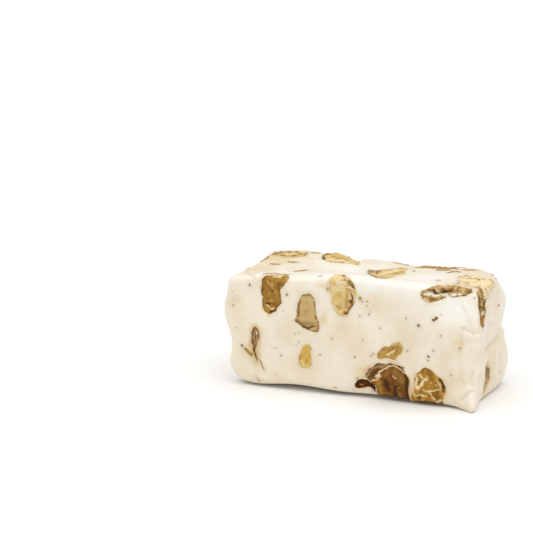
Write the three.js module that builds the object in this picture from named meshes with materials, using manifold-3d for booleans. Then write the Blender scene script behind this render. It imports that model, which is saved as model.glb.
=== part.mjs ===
// A cut bar of white nougat with roasted almonds, lying on its underside.
// Millimetres, +Z up. +X runs along the bar and -Y points out of its front.
// Every almond is cut flush with the bar where the knife went through it.

import * as THREE from 'three';
import { mergeVertices } from 'three/addons/utils/BufferGeometryUtils.js';
import Module from 'manifold-3d';

const wasm = await Module();
wasm.setup();

// Driving sizes of the bar
const barLength = 80;
const barDepth = 36.5;
const barHeight = 37;
const edgeRound = 2.2;
const restingFlat = 0.25;

// Grid of the bar's skin: cells along, across and up, drawn together towards the edges
const cellsAlong = 21;
const cellsAcross = 10;
const cellsUp = 9;
const edgeCrowding = 0.45;

// Clearance of an almond in its pocket, and the grid of an almond
const pocketGap = 0.3;
const almondSides = 8;
const almondRings = 6;

const halfSize = new THREE.Vector3(barLength / 2, barDepth / 2, barHeight / 2);
const endX = halfSize.x;
const backY = halfSize.y;
const topZ = barHeight;

// Soft pushes that the knife and the tray left in the bar:
// centre of the push, how far it reaches along each axis, and how far it moves the surface
const pushes = [
  // the crown along the front of the top, and the hump at the back left
  { at: [8, -backY, topZ], reach: [20, 13, 12], shift: [0, 0, 1.7] },
  { at: [-27, 15, topZ], reach: [11, 13, 10], shift: [0, 0, 1.9] },
  // the back edge is full behind the hump, then notched
  { at: [-16, backY, topZ], reach: [5, 7, 6], shift: [0, 0, 0.9] },
  { at: [-9, backY, topZ], reach: [2.6, 7, 5], shift: [0, 0, -1.5] },
  // the top falls away at both ends
  { at: [-42, -16, topZ], reach: [9, 14, 9], shift: [-0.3, 0, -1.9] },
  { at: [42, backY, topZ], reach: [7, 9, 7], shift: [-1.2, -1.4, -2.4] },
  // the left end swells under its top edge, draws in lower down and rounds off at the foot
  { at: [-endX, -backY, 26], reach: [9, 16, 9.5], shift: [-2.9, 0, 0] },
  { at: [-endX, -backY, 6], reach: [9, 16, 5], shift: [-0.9, 0, 0] },
  { at: [-endX, -backY, 0], reach: [6, 7, 4], shift: [2.0, 1.2, 1.0] },
  // the front right edge leans out, and its foot is pinched forward
  { at: [endX, -backY, 20], reach: [8, 9, 11], shift: [1.5, 0, 0] },
  { at: [endX + 1, -backY, 0], reach: [5, 6, 5], shift: [1.6, -4.4, -0.6] },
  // the right end is drawn in at its waist and bulges low down at the back
  { at: [endX, 13, 30], reach: [8, 12, 6], shift: [1.0, 0, 0] },
  { at: [endX, 12, 18.5], reach: [8, 12, 4], shift: [-0.8, 0, 0] },
  { at: [endX, 12, 8.5], reach: [9, 12, 7], shift: [3.0, 0, 0] },
  // the front lifts off along its bottom edge, most at the left
  { at: [-17, -backY, 0], reach: [13, 7, 5], shift: [0, 0.4, 2.1] },
  { at: [8, -backY, 0], reach: [13, 6, 4], shift: [0, 0.2, 1.2] },
  { at: [27, -backY, 0], reach: [8, 5, 4], shift: [0, 0, 0.9] },
  // broad hollows and swellings of the front and the back
  { at: [-24, -backY, 10], reach: [9, 7, 7], shift: [0, 0.7, 0] },
  { at: [27, -backY, 25], reach: [12, 7, 9], shift: [0, -0.7, 0] },
  { at: [-10, backY, 20], reach: [18, 8, 9], shift: [0, 0.9, 0] },
  { at: [22, backY, 12], reach: [13, 8, 9], shift: [0, -0.9, 0] },
];

// Long low waves over all sides: amplitude, and radians of phase for each millimetre
const waveHeight = 0.38;
const waveAlong = 0.17;
const waveAcross = 0.21;
const waveUp = 0.19;

// Each side of the bar by its outward direction and its own upward direction
const sides = {
  front: { out: [0, -1, 0], up: [0, 0, 1], place: ([x, z], sunk) => [x, sunk - backY, z] },
  back: { out: [0, 1, 0], up: [0, 0, 1], place: ([x, z], sunk) => [x, backY - sunk, z] },
  left: { out: [-1, 0, 0], up: [0, 0, 1], place: ([y, z], sunk) => [sunk - endX, y, z] },
  right: { out: [1, 0, 0], up: [0, 0, 1], place: ([y, z], sunk) => [endX - sunk, y, z] },
  top: { out: [0, 0, 1], up: [0, 1, 0], place: ([x, y], sunk) => [x, y, topZ - sunk] },
  bottom: { out: [0, 0, -1], up: [0, 1, 0], place: ([x, y], sunk) => [x, y, sunk] },
};

const roasted = { color: 0xb98a45, roughness: 0.62 };
const golden = { color: 0xc9a04f, roughness: 0.6 };
const pale = { color: 0xdcc48c, roughness: 0.66 };
const skin = { color: 0x6e4220, roughness: 0.38 };

// The almonds: the side that cuts the kernel, the spot of its middle on that side and how deep
// it is sunk, its half length, half width and half thickness, its turn on that side in degrees,
// its taper towards the tip, and its finish. A broken kernel has flat breaks, each by its
// direction in degrees and its distance from the middle of the kernel.
const almonds = [
  // front, from left to right
  { name: 'almond_sliver', side: 'front', spot: [-31.9, 14.4], sunk: 0.3, size: [6.1, 1.35, 3.2],
    turn: 5, taper: -0.4, finish: skin },
  { name: 'almond_upright', side: 'front', spot: [-25.6, 32.2], sunk: 2.1, size: [9.0, 4.6, 4.2],
    turn: -6, taper: -0.12, broken: [[180, 3.9]], finish: roasted },
  { name: 'almond_chip', side: 'front', spot: [-14.6, 12.0], sunk: 0.9, size: [4.5, 2.4, 3.0],
    turn: -14, taper: 0.12, broken: [[-90, 4.0]], finish: golden },
  { name: 'almond_oval', side: 'front', spot: [-13.7, 25.9], sunk: 1.6, size: [6.9, 4.1, 4.2],
    turn: -6, taper: 0.14, finish: pale },
  { name: 'almond_pale', side: 'front', spot: [-2.5, 33.0], sunk: 2.3, size: [7.4, 4.6, 4.6],
    turn: 9, taper: -0.2, broken: [[20, 4.3]], finish: pale },
  { name: 'almond_skin_tip', side: 'front', spot: [4.2, 4.6], sunk: 0.7, size: [3.7, 1.7, 2.6],
    turn: -86, taper: 0.15, finish: skin },
  { name: 'almond_dark', side: 'front', spot: [12.7, 5.4], sunk: 3.6, size: [8.9, 8.6, 6.6],
    turn: 62, taper: 0.05, finish: skin },
  { name: 'almond_lobed', side: 'front', spot: [13.2, 16.4], sunk: 1.0, size: [4.8, 2.4, 3.0],
    turn: -62, taper: -0.1, finish: golden },
  { name: 'almond_golden', side: 'front', spot: [25.6, 5.6], sunk: 3.3, size: [8.6, 6.7, 5.8],
    turn: 34, taper: 0.08, finish: roasted },
  { name: 'almond_crumbly', side: 'front', spot: [30.8, 35.7], sunk: 2.6, size: [9.8, 2.7, 5.2],
    turn: -78, taper: 0.1, finish: roasted },
  // right end
  { name: 'almond_corner', side: 'right', spot: [-10.6, 30.4], sunk: 1.4, size: [7.0, 5.0, 4.2],
    turn: 6, taper: -0.14, broken: [[0, 4.6]], finish: roasted },
  { name: 'almond_slit', side: 'right', spot: [-2.6, 7.0], sunk: -0.4, size: [5.6, 1.8, 3.4],
    turn: -8, taper: 0.2, finish: skin },
  // top
  { name: 'almond_hump', side: 'top', spot: [-29.0, 13.4], sunk: -0.4, size: [7.6, 2.7, 3.2],
    turn: -84, taper: 0.1, finish: golden },
  { name: 'almond_back_edge', side: 'top', spot: [-15.6, 13.6], sunk: 0.6, size: [7.2, 4.0, 3.8],
    turn: -96, taper: 0.06, finish: pale },
  { name: 'almond_top_wide', side: 'top', spot: [6.2, -6.0], sunk: 0.2, size: [9.2, 6.2, 4.2],
    turn: -44, taper: -0.06, broken: [[90, 7.6]], finish: pale },
  { name: 'almond_top_right', side: 'top', spot: [33.6, 1.6], sunk: 2.0, size: [7.4, 4.4, 3.4],
    turn: -64, taper: 0.1, finish: golden },
  { name: 'almond_top_back', side: 'top', spot: [20.6, 15.4], sunk: 1.0, size: [7.8, 2.7, 3.2],
    turn: -88, taper: 0.1, finish: golden },
  // back, from its left to its right as seen from behind
  { name: 'almond_back_1', side: 'back', spot: [31.6, 25.0], sunk: 1.9, size: [7.8, 4.6, 4.2],
    turn: 24, taper: 0.12, broken: [[0, 4.0]], finish: roasted },
  { name: 'almond_back_2', side: 'back', spot: [24.6, 8.8], sunk: 1.9, size: [5.6, 3.6, 4.0],
    turn: -58, taper: 0.06, finish: pale },
  { name: 'almond_back_3', side: 'back', spot: [12.4, 22.2], sunk: 1.1, size: [5.0, 2.6, 3.4],
    turn: 74, taper: 0.1, finish: golden },
  { name: 'almond_back_4', side: 'back', spot: [2.6, 6.6], sunk: 2.7, size: [7.4, 5.2, 5.2],
    turn: 70, taper: 0.08, finish: skin },
  { name: 'almond_back_5', side: 'back', spot: [-5.4, 25.6], sunk: 1.5, size: [7.2, 3.8, 4.0],
    turn: -34, taper: 0.14, finish: roasted },
  { name: 'almond_back_6', side: 'back', spot: [-21.0, 14.2], sunk: 0.9, size: [6.4, 3.4, 4.0],
    turn: 12, taper: 0.1, broken: [[90, 5.0]], finish: pale },
  { name: 'almond_back_7', side: 'back', spot: [-33.0, 26.2], sunk: 1.7, size: [5.8, 3.8, 3.8],
    turn: 48, taper: 0.1, finish: golden },
  // left end
  { name: 'almond_left_1', side: 'left', spot: [-6.4, 27.0], sunk: 0.4, size: [7.0, 4.0, 4.2],
    turn: 28, taper: 0.12, finish: roasted },
  { name: 'almond_left_2', side: 'left', spot: [6.4, 11.2], sunk: 2.0, size: [6.2, 3.4, 4.0],
    turn: -52, taper: 0.1, broken: [[90, 5.0]], finish: pale },
  // underside
  { name: 'almond_under_1', side: 'bottom', spot: [-20.0, 3.4], sunk: 1.2, size: [7.2, 4.2, 3.6],
    turn: 64, taper: 0.1, finish: roasted },
  { name: 'almond_under_2', side: 'bottom', spot: [24.0, 4.6], sunk: 1.2, size: [6.4, 3.8, 3.4],
    turn: -40, taper: 0.1, finish: golden },
];

// Moves a grid point towards the nearest edge, so that cells are small where the bar curves
function crowd(value, half) {
  const share = value / half;
  return half * (share + edgeCrowding * Math.sin(Math.PI * share) / Math.PI);
}

// Moves a point of the sharp block onto the block with round edges
function roundEdges(point) {
  const inner = halfSize.clone().subScalar(edgeRound);
  const core = point.clone().clamp(inner.clone().negate(), inner);
  const outward = point.clone().sub(core).normalize();
  return core.addScaledVector(outward, edgeRound);
}

// Adds the soft pushes and the long low waves
function soften(point) {
  const moved = point.clone();
  for (const push of pushes) {
    const away = point.clone().sub(new THREE.Vector3(...push.at));
    away.divide(new THREE.Vector3(...push.reach));
    const strength = Math.exp(-away.lengthSq());
    moved.addScaledVector(new THREE.Vector3(...push.shift), strength);
  }
  const { x, y, z } = point;
  const lift = z / barHeight;
  moved.x += waveHeight * Math.sin(waveAcross * y + 0.8) * Math.sin(waveUp * z + 0.5);
  moved.y += waveHeight * Math.sin(waveAlong * x + 1.1) * Math.cos(waveUp * z);
  moved.z += waveHeight * Math.sin(waveAlong * x - 0.6) * Math.cos(waveAcross * y) * lift ** 2;
  return moved;
}

// The underside is pressed flat where the bar rests
function settle(point) {
  if (point.z < restingFlat) {
    point.z = 0;
  }
  return point;
}

function barGeometry() {
  const block = new THREE.BoxGeometry(barLength, barDepth, barHeight, cellsAlong, cellsAcross, cellsUp);
  block.deleteAttribute('normal');
  block.deleteAttribute('uv');
  const geometry = mergeVertices(block);
  const position = geometry.attributes.position;
  const point = new THREE.Vector3();
  for (let i = 0; i < position.count; i += 1) {
    point.fromBufferAttribute(position, i);
    point.x = crowd(point.x, halfSize.x);
    point.y = crowd(point.y, halfSize.y);
    point.z = crowd(point.z, halfSize.z);
    const rounded = roundEdges(point);
    rounded.z += halfSize.z;
    const finished = settle(soften(rounded));
    position.setXYZ(i, finished.x, finished.y, finished.z);
  }
  return geometry;
}

// Moves what lies past a flat break back onto it
function breakOff(point, direction, distance) {
  const angle = THREE.MathUtils.degToRad(direction);
  const normal = new THREE.Vector3(Math.cos(angle), Math.sin(angle), 0);
  const excess = Math.max(0, point.dot(normal) - distance);
  point.addScaledVector(normal, -excess);
}

// A kernel with its long axis along Y and its thickness along Z, larger all round by swell
function almondGeometry(almond, swell) {
  const [halfLength, halfWidth, halfThickness] = almond.size;
  const sphere = new THREE.SphereGeometry(1, almondSides, almondRings);
  sphere.deleteAttribute('normal');
  sphere.deleteAttribute('uv');
  const geometry = mergeVertices(sphere);
  const position = geometry.attributes.position;
  const point = new THREE.Vector3();
  for (let i = 0; i < position.count; i += 1) {
    point.fromBufferAttribute(position, i);
    const narrowing = 1 - almond.taper * (1 + point.y);
    const width = halfWidth * narrowing + swell;
    const thickness = halfThickness * (1 - almond.taper * point.y / 2) + swell;
    point.multiply(new THREE.Vector3(width, halfLength + swell, thickness));
    for (const [direction, distance] of almond.broken ?? []) {
      breakOff(point, direction, distance + swell);
    }
    position.setXYZ(i, point.x, point.y, point.z);
  }
  return geometry;
}

// Turns a kernel on the side that cuts it and moves it to its place
function placeAlmond(geometry, almond) {
  const side = sides[almond.side];
  const out = new THREE.Vector3(...side.out);
  const up = new THREE.Vector3(...side.up);
  const across = up.clone().cross(out);
  const placement = new THREE.Matrix4().makeBasis(across, up, out);
  placement.multiply(new THREE.Matrix4().makeRotationZ(THREE.MathUtils.degToRad(almond.turn)));
  placement.setPosition(...side.place(almond.spot, almond.sunk));
  return geometry.applyMatrix4(placement);
}

function toSolid(geometry) {
  const vertProperties = new Float32Array(geometry.attributes.position.array);
  const triVerts = new Uint32Array(geometry.index.array);
  return new wasm.Manifold(new wasm.Mesh({ numProp: 3, vertProperties, triVerts }));
}

function toMesh(name, solid, finish) {
  const cut = solid.getMesh();
  const geometry = new THREE.BufferGeometry();
  geometry.setAttribute('position', new THREE.BufferAttribute(cut.vertProperties, 3));
  geometry.setIndex(new THREE.BufferAttribute(cut.triVerts, 1));
  geometry.computeVertexNormals();
  const material = new THREE.MeshStandardMaterial({ ...finish, metalness: 0 });
  const mesh = new THREE.Mesh(geometry, material);
  mesh.name = name;
  return mesh;
}

const group = new THREE.Group();
let nougat = toSolid(barGeometry());

for (const almond of almonds) {
  const kernel = toSolid(placeAlmond(almondGeometry(almond, 0), almond));
  const pocket = toSolid(placeAlmond(almondGeometry(almond, pocketGap), almond));
  group.add(toMesh(almond.name, nougat.intersect(kernel), almond.finish));
  nougat = nougat.subtract(pocket);
}
group.add(toMesh('nougat', nougat, { color: 0xefe6d3, roughness: 0.5 }));

// The origin is the middle of the footprint, on the surface that the bar rests on
const bounds = new THREE.Box3().setFromObject(group);
const middle = bounds.getCenter(new THREE.Vector3());
group.position.set(-middle.x, -middle.y, -bounds.min.z);

export default group;
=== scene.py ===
import math

import bmesh
import bpy
import numpy as np
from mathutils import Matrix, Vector
from mathutils.bvhtree import BVHTree


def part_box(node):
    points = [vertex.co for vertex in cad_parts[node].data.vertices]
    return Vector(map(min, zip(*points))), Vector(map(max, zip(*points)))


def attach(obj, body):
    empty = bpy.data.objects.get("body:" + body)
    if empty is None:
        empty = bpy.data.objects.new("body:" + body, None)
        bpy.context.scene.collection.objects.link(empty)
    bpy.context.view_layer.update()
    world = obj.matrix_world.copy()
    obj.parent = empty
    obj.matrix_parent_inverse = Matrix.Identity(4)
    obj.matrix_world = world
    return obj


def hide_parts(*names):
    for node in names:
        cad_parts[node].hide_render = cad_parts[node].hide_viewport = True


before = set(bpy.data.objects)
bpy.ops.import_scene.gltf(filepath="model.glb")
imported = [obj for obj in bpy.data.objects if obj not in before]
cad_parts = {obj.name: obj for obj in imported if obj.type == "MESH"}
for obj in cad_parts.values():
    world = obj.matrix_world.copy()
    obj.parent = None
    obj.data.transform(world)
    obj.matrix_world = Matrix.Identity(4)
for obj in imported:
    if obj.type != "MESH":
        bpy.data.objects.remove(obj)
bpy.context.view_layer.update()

mm = 0.001
print("frame loaded,", len(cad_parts), "solids")


# Random shapes, the same on every run

latticeSize = 24


def cloud(points, size, seed):
    # smooth random values from -1 to 1, with lumps of the given size
    table = np.random.default_rng(seed).uniform(-1, 1, (latticeSize,) * 3)
    place = points / size + seed * 0.37
    cell = np.floor(place).astype(int)
    part = place - cell
    part = part * part * (3 - 2 * part)
    total = np.zeros(len(points))
    for corner in np.ndindex(2, 2, 2):
        index = (cell + corner) % latticeSize
        weight = np.prod(np.where(corner, part, 1 - part), axis=1)
        total += weight * table[index[:, 0], index[:, 1], index[:, 2]]
    return total


def layered(points, size, seed, layers=3):
    # clouds on clouds, each half the size and half the height of the last
    total = 0
    for layer in range(layers):
        total = total + cloud(points, size / 2 ** layer, seed + layer) / 2 ** layer
    return total


def drift(points, size, *seeds):
    # a smooth random shift of each point, one direction for each seed
    return np.stack([cloud(points, size, seed) for seed in seeds], 1)


def grains(points, size, seed):
    # each point's place in its grain: room to the next grain, the grain's own number, and the
    # height of the grain's tilted face
    rng = np.random.default_rng(seed)
    jitter = rng.uniform(0, 1, (latticeSize,) * 3 + (3,))
    number = rng.uniform(-1, 1, (latticeSize,) * 3)
    lean = rng.normal(0, 1, (latticeSize,) * 3 + (3,))
    place = points / size
    cell = np.floor(place).astype(int)
    best = np.full(len(points), 9.0)
    second = best.copy()
    own = np.zeros(len(points))
    tilt = np.zeros(len(points))
    for shift in np.ndindex(3, 3, 3):
        other = cell + shift - 1
        index = tuple((other % latticeSize).T)
        offset = place - other - jitter[index]
        gap = np.linalg.norm(offset, axis=1)
        own = np.where(gap < best, number[index], own)
        tilt = np.where(gap < best, (offset * lean[index]).sum(1), tilt)
        second = np.minimum(second, np.maximum(gap, best))
        best = np.minimum(best, gap)
    return second - best, own, tilt


def smoothStep(low, high, value):
    share = np.clip((value - low) / (high - low), 0, 1)
    return share * share * (3 - 2 * share)


def pairs(numbers):
    # spots from numbers in a row: across and up, across and up
    return np.array(numbers, float).reshape(-1, 2)


def cutCorners(a, b):
    # two points on each stretch from a to b, a quarter of it away from its ends
    return np.stack([0.75 * a + 0.25 * b, 0.25 * a + 0.75 * b], 1).reshape(-1, 2)


def evenGrid(low, high, step):
    # the points of a grid that fills a block, and their number each way
    counts = np.ceil((high - low) / step).astype(int) + 1
    spots = np.stack(np.meshgrid(*(np.arange(n) for n in counts), indexing="ij"), -1)
    return spots.reshape(-1, len(counts)) * step + low, counts


# The bar of nougat. All shapes are worked out in millimetres, before they go to metres.

bar = {
    "length": 80, "depth": 36.5, "height": 37, "edgeRound": 2.2, "restingFlat": 0.25,
    "cell": 0.42,                               # side of a square of the fine grid
    "waveHeight": 0.38, "waves": (0.17, 0.21, 0.19),
    "lumps": ((15, 0.42), (6, 0.20), (2.6, 0.06)),       # size and height of the surface's lumps
    "endLumps": ((7, 0.40), (3, 0.16)),         # the torn ends are rougher
    "trayReach": (0.2, 2.5),                    # the tray kept the foot smooth up to these heights
    "lip": 0.10, "lipWidth": 0.7,               # nougat stands up a little around each kernel,
    "lipShare": 0.6, "lipChange": 0.8, "lipPatch": 2.0, "lipAbove": 0.8,      # but not where it rests
    "overlap": 0.16, "overlapChange": 0.8, "overlapPatch": 1.4,     # and laps over its edge, unevenly
    "catch": 0.72, "leastSlope": 0.15,          # share of a square that slides onto the outline
    "pocketDepth": 1.5, "wallSlope": 2,
}
endX = bar["length"] / 2
backY = bar["depth"] / 2
topZ = bar["height"]

# where the knife and the tray pushed the bar: middle, reach along each axis, and move
pushes = (
    ((8, -backY, topZ), (20, 13, 12), (0, 0, 1.7)),         # crown along the front of the top
    ((-27, 15, topZ), (11, 13, 10), (0, 0, 1.9)),           # hump at the back left
    ((-16, backY, topZ), (5, 7, 6), (0, 0, 0.9)),           # full back edge
    ((-9, backY, topZ), (2.6, 7, 5), (0, 0, -1.5)),         # notch in the back edge
    ((-42, -16, topZ), (9, 14, 9), (-0.3, 0, -1.9)),        # top falls away at the ends
    ((42, backY, topZ), (7, 9, 7), (-1.2, -1.4, -2.4)),
    ((-endX, -backY, 26), (9, 16, 9.5), (-2.9, 0, 0)),      # left end: swell, waist and foot
    ((-endX, -backY, 6), (9, 16, 5), (-0.9, 0, 0)),
    ((-endX, -backY, 0), (6, 7, 4), (2.0, 1.2, 1.0)),
    ((endX, -backY, 20), (8, 9, 11), (1.5, 0, 0)),          # front right edge, and its pinched foot
    ((endX + 1, -backY, 0), (5, 6, 5), (1.6, -4.4, -0.6)),
    ((endX, 13, 30), (8, 12, 6), (1.0, 0, 0)),              # right end: shoulder, waist and bulge
    ((endX, 12, 18.5), (8, 12, 4), (-0.4, 0, 0)),
    ((endX, 12, 8.5), (9, 12, 7), (3.4, 0, 0)),
    ((-17, -backY, 0), (13, 7, 5), (0, 0.4, 2.1)),          # bottom edge lifts off at the front
    ((8, -backY, 0), (13, 6, 4), (0, 0.2, 1.2)),
    ((27, -backY, 0), (8, 5, 4), (0, 0, 0.9)),
    ((-24, -backY, 10), (9, 7, 7), (0, 0.7, 0)),            # broad hollows and swellings
    ((27, -backY, 25), (12, 7, 9), (0, -0.7, 0)),
    ((-10, backY, 20), (18, 8, 9), (0, 0.9, 0)),
    ((22, backY, 12), (13, 8, 9), (0, -0.9, 0)),
)


def blockGrid(sizes, cell):
    # the sides of a sharp block as one closed grid, with a flat layout of each side
    half = np.array(sizes) / 2
    corners, squares, layout = [], [], []
    count = 0
    for axis in range(3):
        for sign in (-1, 1):
            u, v = (axis + 1) % 3, (axis + 2) % 3
            stepsU, stepsV = round(sizes[u] / cell), round(sizes[v] / cell)
            gridU, gridV = np.meshgrid(np.linspace(-half[u], half[u], stepsU + 1),
                                       np.linspace(-half[v], half[v], stepsV + 1), indexing="ij")
            side = np.empty(gridU.shape + (3,))
            side[..., axis] = sign * half[axis]
            side[..., u] = gridU
            side[..., v] = gridV
            index = np.arange(gridU.size).reshape(gridU.shape) + count
            square = np.stack([index[:-1, :-1], index[1:, :-1], index[1:, 1:], index[:-1, 1:]], -1)
            square = square.reshape(-1, 4)
            squares.append(square if sign > 0 else square[:, ::-1])
            corners.append(side.reshape(-1, 3))
            layout.append(sheetPlace(side.reshape(-1, 3), axis, sign, half))
            count += gridU.size
    corners, squares, layout = np.concatenate(corners), np.concatenate(squares), np.concatenate(layout)
    keys = np.round(corners * 1000).astype(int)
    first, shared = np.unique(keys, axis=0, return_index=True, return_inverse=True)[1:]
    return corners[first], shared.reshape(-1)[squares], layout[squares]


def sheetPlace(points, axis, sign, half):
    # the four long sides lie under each other on the sheet, and the two ends beside them
    margin = 1.5
    tall = 2 * max(half[1], half[2]) + margin
    sheet = 4 * tall
    row = {1: 0, 2: 2, 0: 0}[axis] + (sign > 0)
    across = points[:, 1] + half[1] + 2 * half[0] + margin if axis == 0 else points[:, 0] + half[0]
    up = points[:, 1] + half[1] if axis == 2 else points[:, 2] + half[2]
    return np.stack([across + margin / 2, up + row * tall + margin / 2], 1) / sheet


def softForm(points):
    # rounds the block's edges, then adds the pushes and the long low waves
    half = np.array([endX, backY, topZ / 2])
    core = np.clip(points, bar["edgeRound"] - half, half - bar["edgeRound"])
    outward = points - core
    outward /= np.linalg.norm(outward, axis=1, keepdims=True)
    rounded = core + outward * bar["edgeRound"] + (0, 0, half[2])
    moved = rounded.copy()
    for middle, reach, shift in pushes:
        away = (rounded - middle) / reach
        moved += np.exp(-(away ** 2).sum(1))[:, None] * shift
    x, y, z = rounded.T
    along, across, up = bar["waves"]
    moved[:, 0] += bar["waveHeight"] * np.sin(across * y + 0.8) * np.sin(up * z + 0.5)
    moved[:, 1] += bar["waveHeight"] * np.sin(along * x + 1.1) * np.cos(up * z)
    moved[:, 2] += bar["waveHeight"] * np.sin(along * x - 0.6) * np.cos(across * y) * (z / topZ) ** 2
    return moved


def normalsOf(points, squares):
    a, b, c, d = (points[squares[:, i]] for i in range(4))
    upright = np.cross(c - a, d - b)
    total = np.zeros_like(points)
    for i in range(4):
        for axis in range(3):
            total[:, axis] += np.bincount(squares[:, i], upright[:, axis], len(points))
    return total / np.maximum(np.linalg.norm(total, axis=1, keepdims=True), 1e-9)


# each side by its outward and its upward direction, the two axes of a spot on it, and how far
# out it lies
sides = {
    "front": ((0, -1, 0), (0, 0, 1), (0, 2), backY),
    "back": ((0, 1, 0), (0, 0, 1), (0, 2), backY),
    "left": ((-1, 0, 0), (0, 0, 1), (1, 2), endX),
    "right": ((1, 0, 0), (0, 0, 1), (1, 2), endX),
    "top": ((0, 0, 1), (0, 1, 0), (0, 1), topZ),
    "bottom": ((0, 0, -1), (0, 1, 0), (0, 1), 0),
}


def placeOn(side, spots, sunk=0):
    outward, _, axes, reach = sides[side]
    places = np.outer(np.ones(len(spots)), np.array(outward) * (reach - sunk))
    places[:, axes] = spots
    return places


def facing(side, normals, low, high):
    # 1 where the surface looks the way the side does, and 0 where it looks elsewhere
    return smoothStep(low, high, normals @ np.array(sides[side][0], float))


creaseShape = {"wander": 0.45, "wanderSize": 2.5, "grooveShare": 0.45}
# folds and tears in the nougat, on each side: depth, width, how far the lower lip stands out, and
# the points of the line
creases = {
    "front": ((0.35, 1.3, 0.45, 36.4, 32, 36.8, 29.8, 38, 27.9, 39.4, 25.2),
        (0.5, 0.9, 0.4, 41.4, 24.3, 39.6, 24, 38.5, 24.4, 37, 25.6, 35.8, 25.6),
        (0.4, 1.7, 0.25, 35.7, 9, 35.4, 14, 35.4, 18.6, 35.9, 23.1, 35.9, 25.3),
        (0.22, 0.8, 0.1, 38, 19.5, 39.5, 19), (0.6, 2.2, 0, -31.7, 9.2, -32.7, 5.6, -33.4, 1.7),
        (0.7, 0.45, 0.2, -31.3, 3.6, -30.9, 2.4, -30.6, 1.2),
        (0.55, 1.1, 0.4, 36, 3.4, 37.6, 4.4, 38.9, 5.8, 40.6, 6.2),
        (0.75, 1.3, 0.4, 39.3, 12, 38.9, 9, 39.6, 7.6, 41.5, 7.7),
        (0.25, 1.2, 0.15, 33.5, 8, 35.5, 9.5, 37, 9)),
    "right": ((0.8, 1.5, 0.5, 17, 19, 8.9, 16.9, 1.2, 16, -6, 15.6, -12, 14.2, -14, 11, -13.6, 6),
        (0.95, 1.7, 0.35, -2, 14.4, -4.6, 10.5, -4.4, 5.5, -5.4, 2),
        (0.4, 0.8, 0.25, 1.5, 14.5, 0.2, 12, -0.4, 8, -0.2, 5), (0.4, 0.6, 0.15, 5.3, 12, 5.6, 9.2, 5, 7.4),
        (0.3, 1.2, 0.15, -12, 23.5, -5, 21.5, 2, 22.5, 9, 21.5),
        (0.2, 0.8, 0.1, 7.3, 27.4, 1, 28.6, -2, 29.6)),
    "top": ((0.5, 0.9, 0.25, -8.5, 17.5, -6.7, 9.1, -4.2, 5.6, -3, 2.7, -0.9, 1.1),
        (0.6, 1, 0.45, -39.5, -6.8, -36.5, -12.9, -33.3, -17), (0.22, 0.6, 0.1, -37, 9, -27, 7.5, -16, 8.5),
        (0.22, 0.6, 0.1, 14, -3, 24, -1.5, 31, -3.5)),
    "back": ((0.5, 1.1, 0.25, -12, 33, -13.5, 27, -12.5, 20), (0.5, 1, 0.25, 34, 14, 35.5, 8, 34, 2),
        (0.3, 0.7, 0.15, 6, 16.5, 14, 13, 19, 13.5)),
    "left": ((0.8, 1.1, 0.45, -12, 15, -4, 17.5, 5, 21, 12, 20), (0.45, 0.8, 0.25, 0.5, 17, -1.5, 9, 1, 3)),
}


def fromStretch(points, a, b):
    # the way to each point from the nearest place on the stretch from a to b
    run = b - a
    share = np.clip((points - a) @ run / (run @ run), 0, 1)
    return points - a - share[:, None] * run


def lineDistance(points, ends):
    # distance to a line of straight stretches, and which side of it each point is on
    best = np.full(len(points), 99.0)
    leaning = np.zeros(len(points))
    for a, b in zip(ends[:-1], ends[1:]):
        run, gap = b - a, fromStretch(points, a, b)
        distance = np.linalg.norm(gap, axis=1)
        turned = run[0] * gap[:, 1] - run[1] * gap[:, 0]
        leaning = np.where(distance < best, np.sign(turned), leaning)
        best = np.minimum(best, distance)
    return best, leaning


def creased(points, normals):
    # how far each crease moves the surface along its normal
    total, look, seed = np.zeros(len(points)), creaseShape, 40
    for side, rows in creases.items():
        for depth, width, lip, *line in rows:
            wander = look["wander"] * drift(points, look["wanderSize"], seed, seed + 30)
            distance, leaning = lineDistance(points[:, sides[side][2]] + wander, pairs(line))
            groove = np.exp(-(distance / (look["grooveShare"] * width)) ** 2)
            bank = np.exp(-((distance - width) / width) ** 2) * (leaning > 0)
            total += facing(side, normals, 0.3, 0.75) * (lip * bank - depth * groove)
            seed += 1
    return total


def lumpy(points, normals):
    # soft lumps everywhere, and the rough tear of the two ends
    total = np.zeros(len(points))
    for index, (size, height) in enumerate(bar["lumps"]):
        total += height * cloud(points, size, 11 + index)
    torn = smoothStep(0.5, 0.9, np.abs(normals[:, 0]))
    for index, (size, height) in enumerate(bar["endLumps"]):
        total += torn * height * cloud(points, size, 21 + index)
    return total


# broad dents and swellings of the hand-cut sides: middle, reach across and up, height
dents = {
    "front": ((-37.5, 24, 3.5, 5, -0.5), (-22, 17.5, 6, 6, 0.35), (-5, 19.5, 4.5, 6, -0.45),
        (9, 29.5, 5, 4.5, -0.55), (18, 30.5, 7, 2.6, 0.35), (31, 17, 5, 6, -0.35)),
}


def dented(points, normals):
    total = np.zeros(len(points))
    for side, rows in dents.items():
        for x, y, reachX, reachY, height in rows:
            away = (points[:, sides[side][2]] - (x, y)) / (reachX, reachY)
            total += facing(side, normals, 0.2, 0.7) * height * np.exp(-(away ** 2).sum(1))
    return total


def meshFrom(name, points, faces):
    mesh = bpy.data.meshes.new(name)
    mesh.from_pydata((points * mm).tolist(), [], faces)
    mesh.update()
    return mesh


def objectFrom(name, mesh):
    thing = bpy.data.objects.new(name, mesh)
    bpy.context.scene.collection.objects.link(thing)
    return thing


def smoothed(mesh):
    mesh.polygons.foreach_set("use_smooth", [True] * len(mesh.polygons))
    mesh.update()
    return mesh


def floatLayer(mesh, name, values):
    layer = mesh.attributes.new(name, "FLOAT", "POINT")
    layer.data.foreach_set("value", np.asarray(values, np.float32))


def settle(points):
    points[:, 2] = np.where(points[:, 2] < bar["restingFlat"], 0, points[:, 2])
    return points


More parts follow.
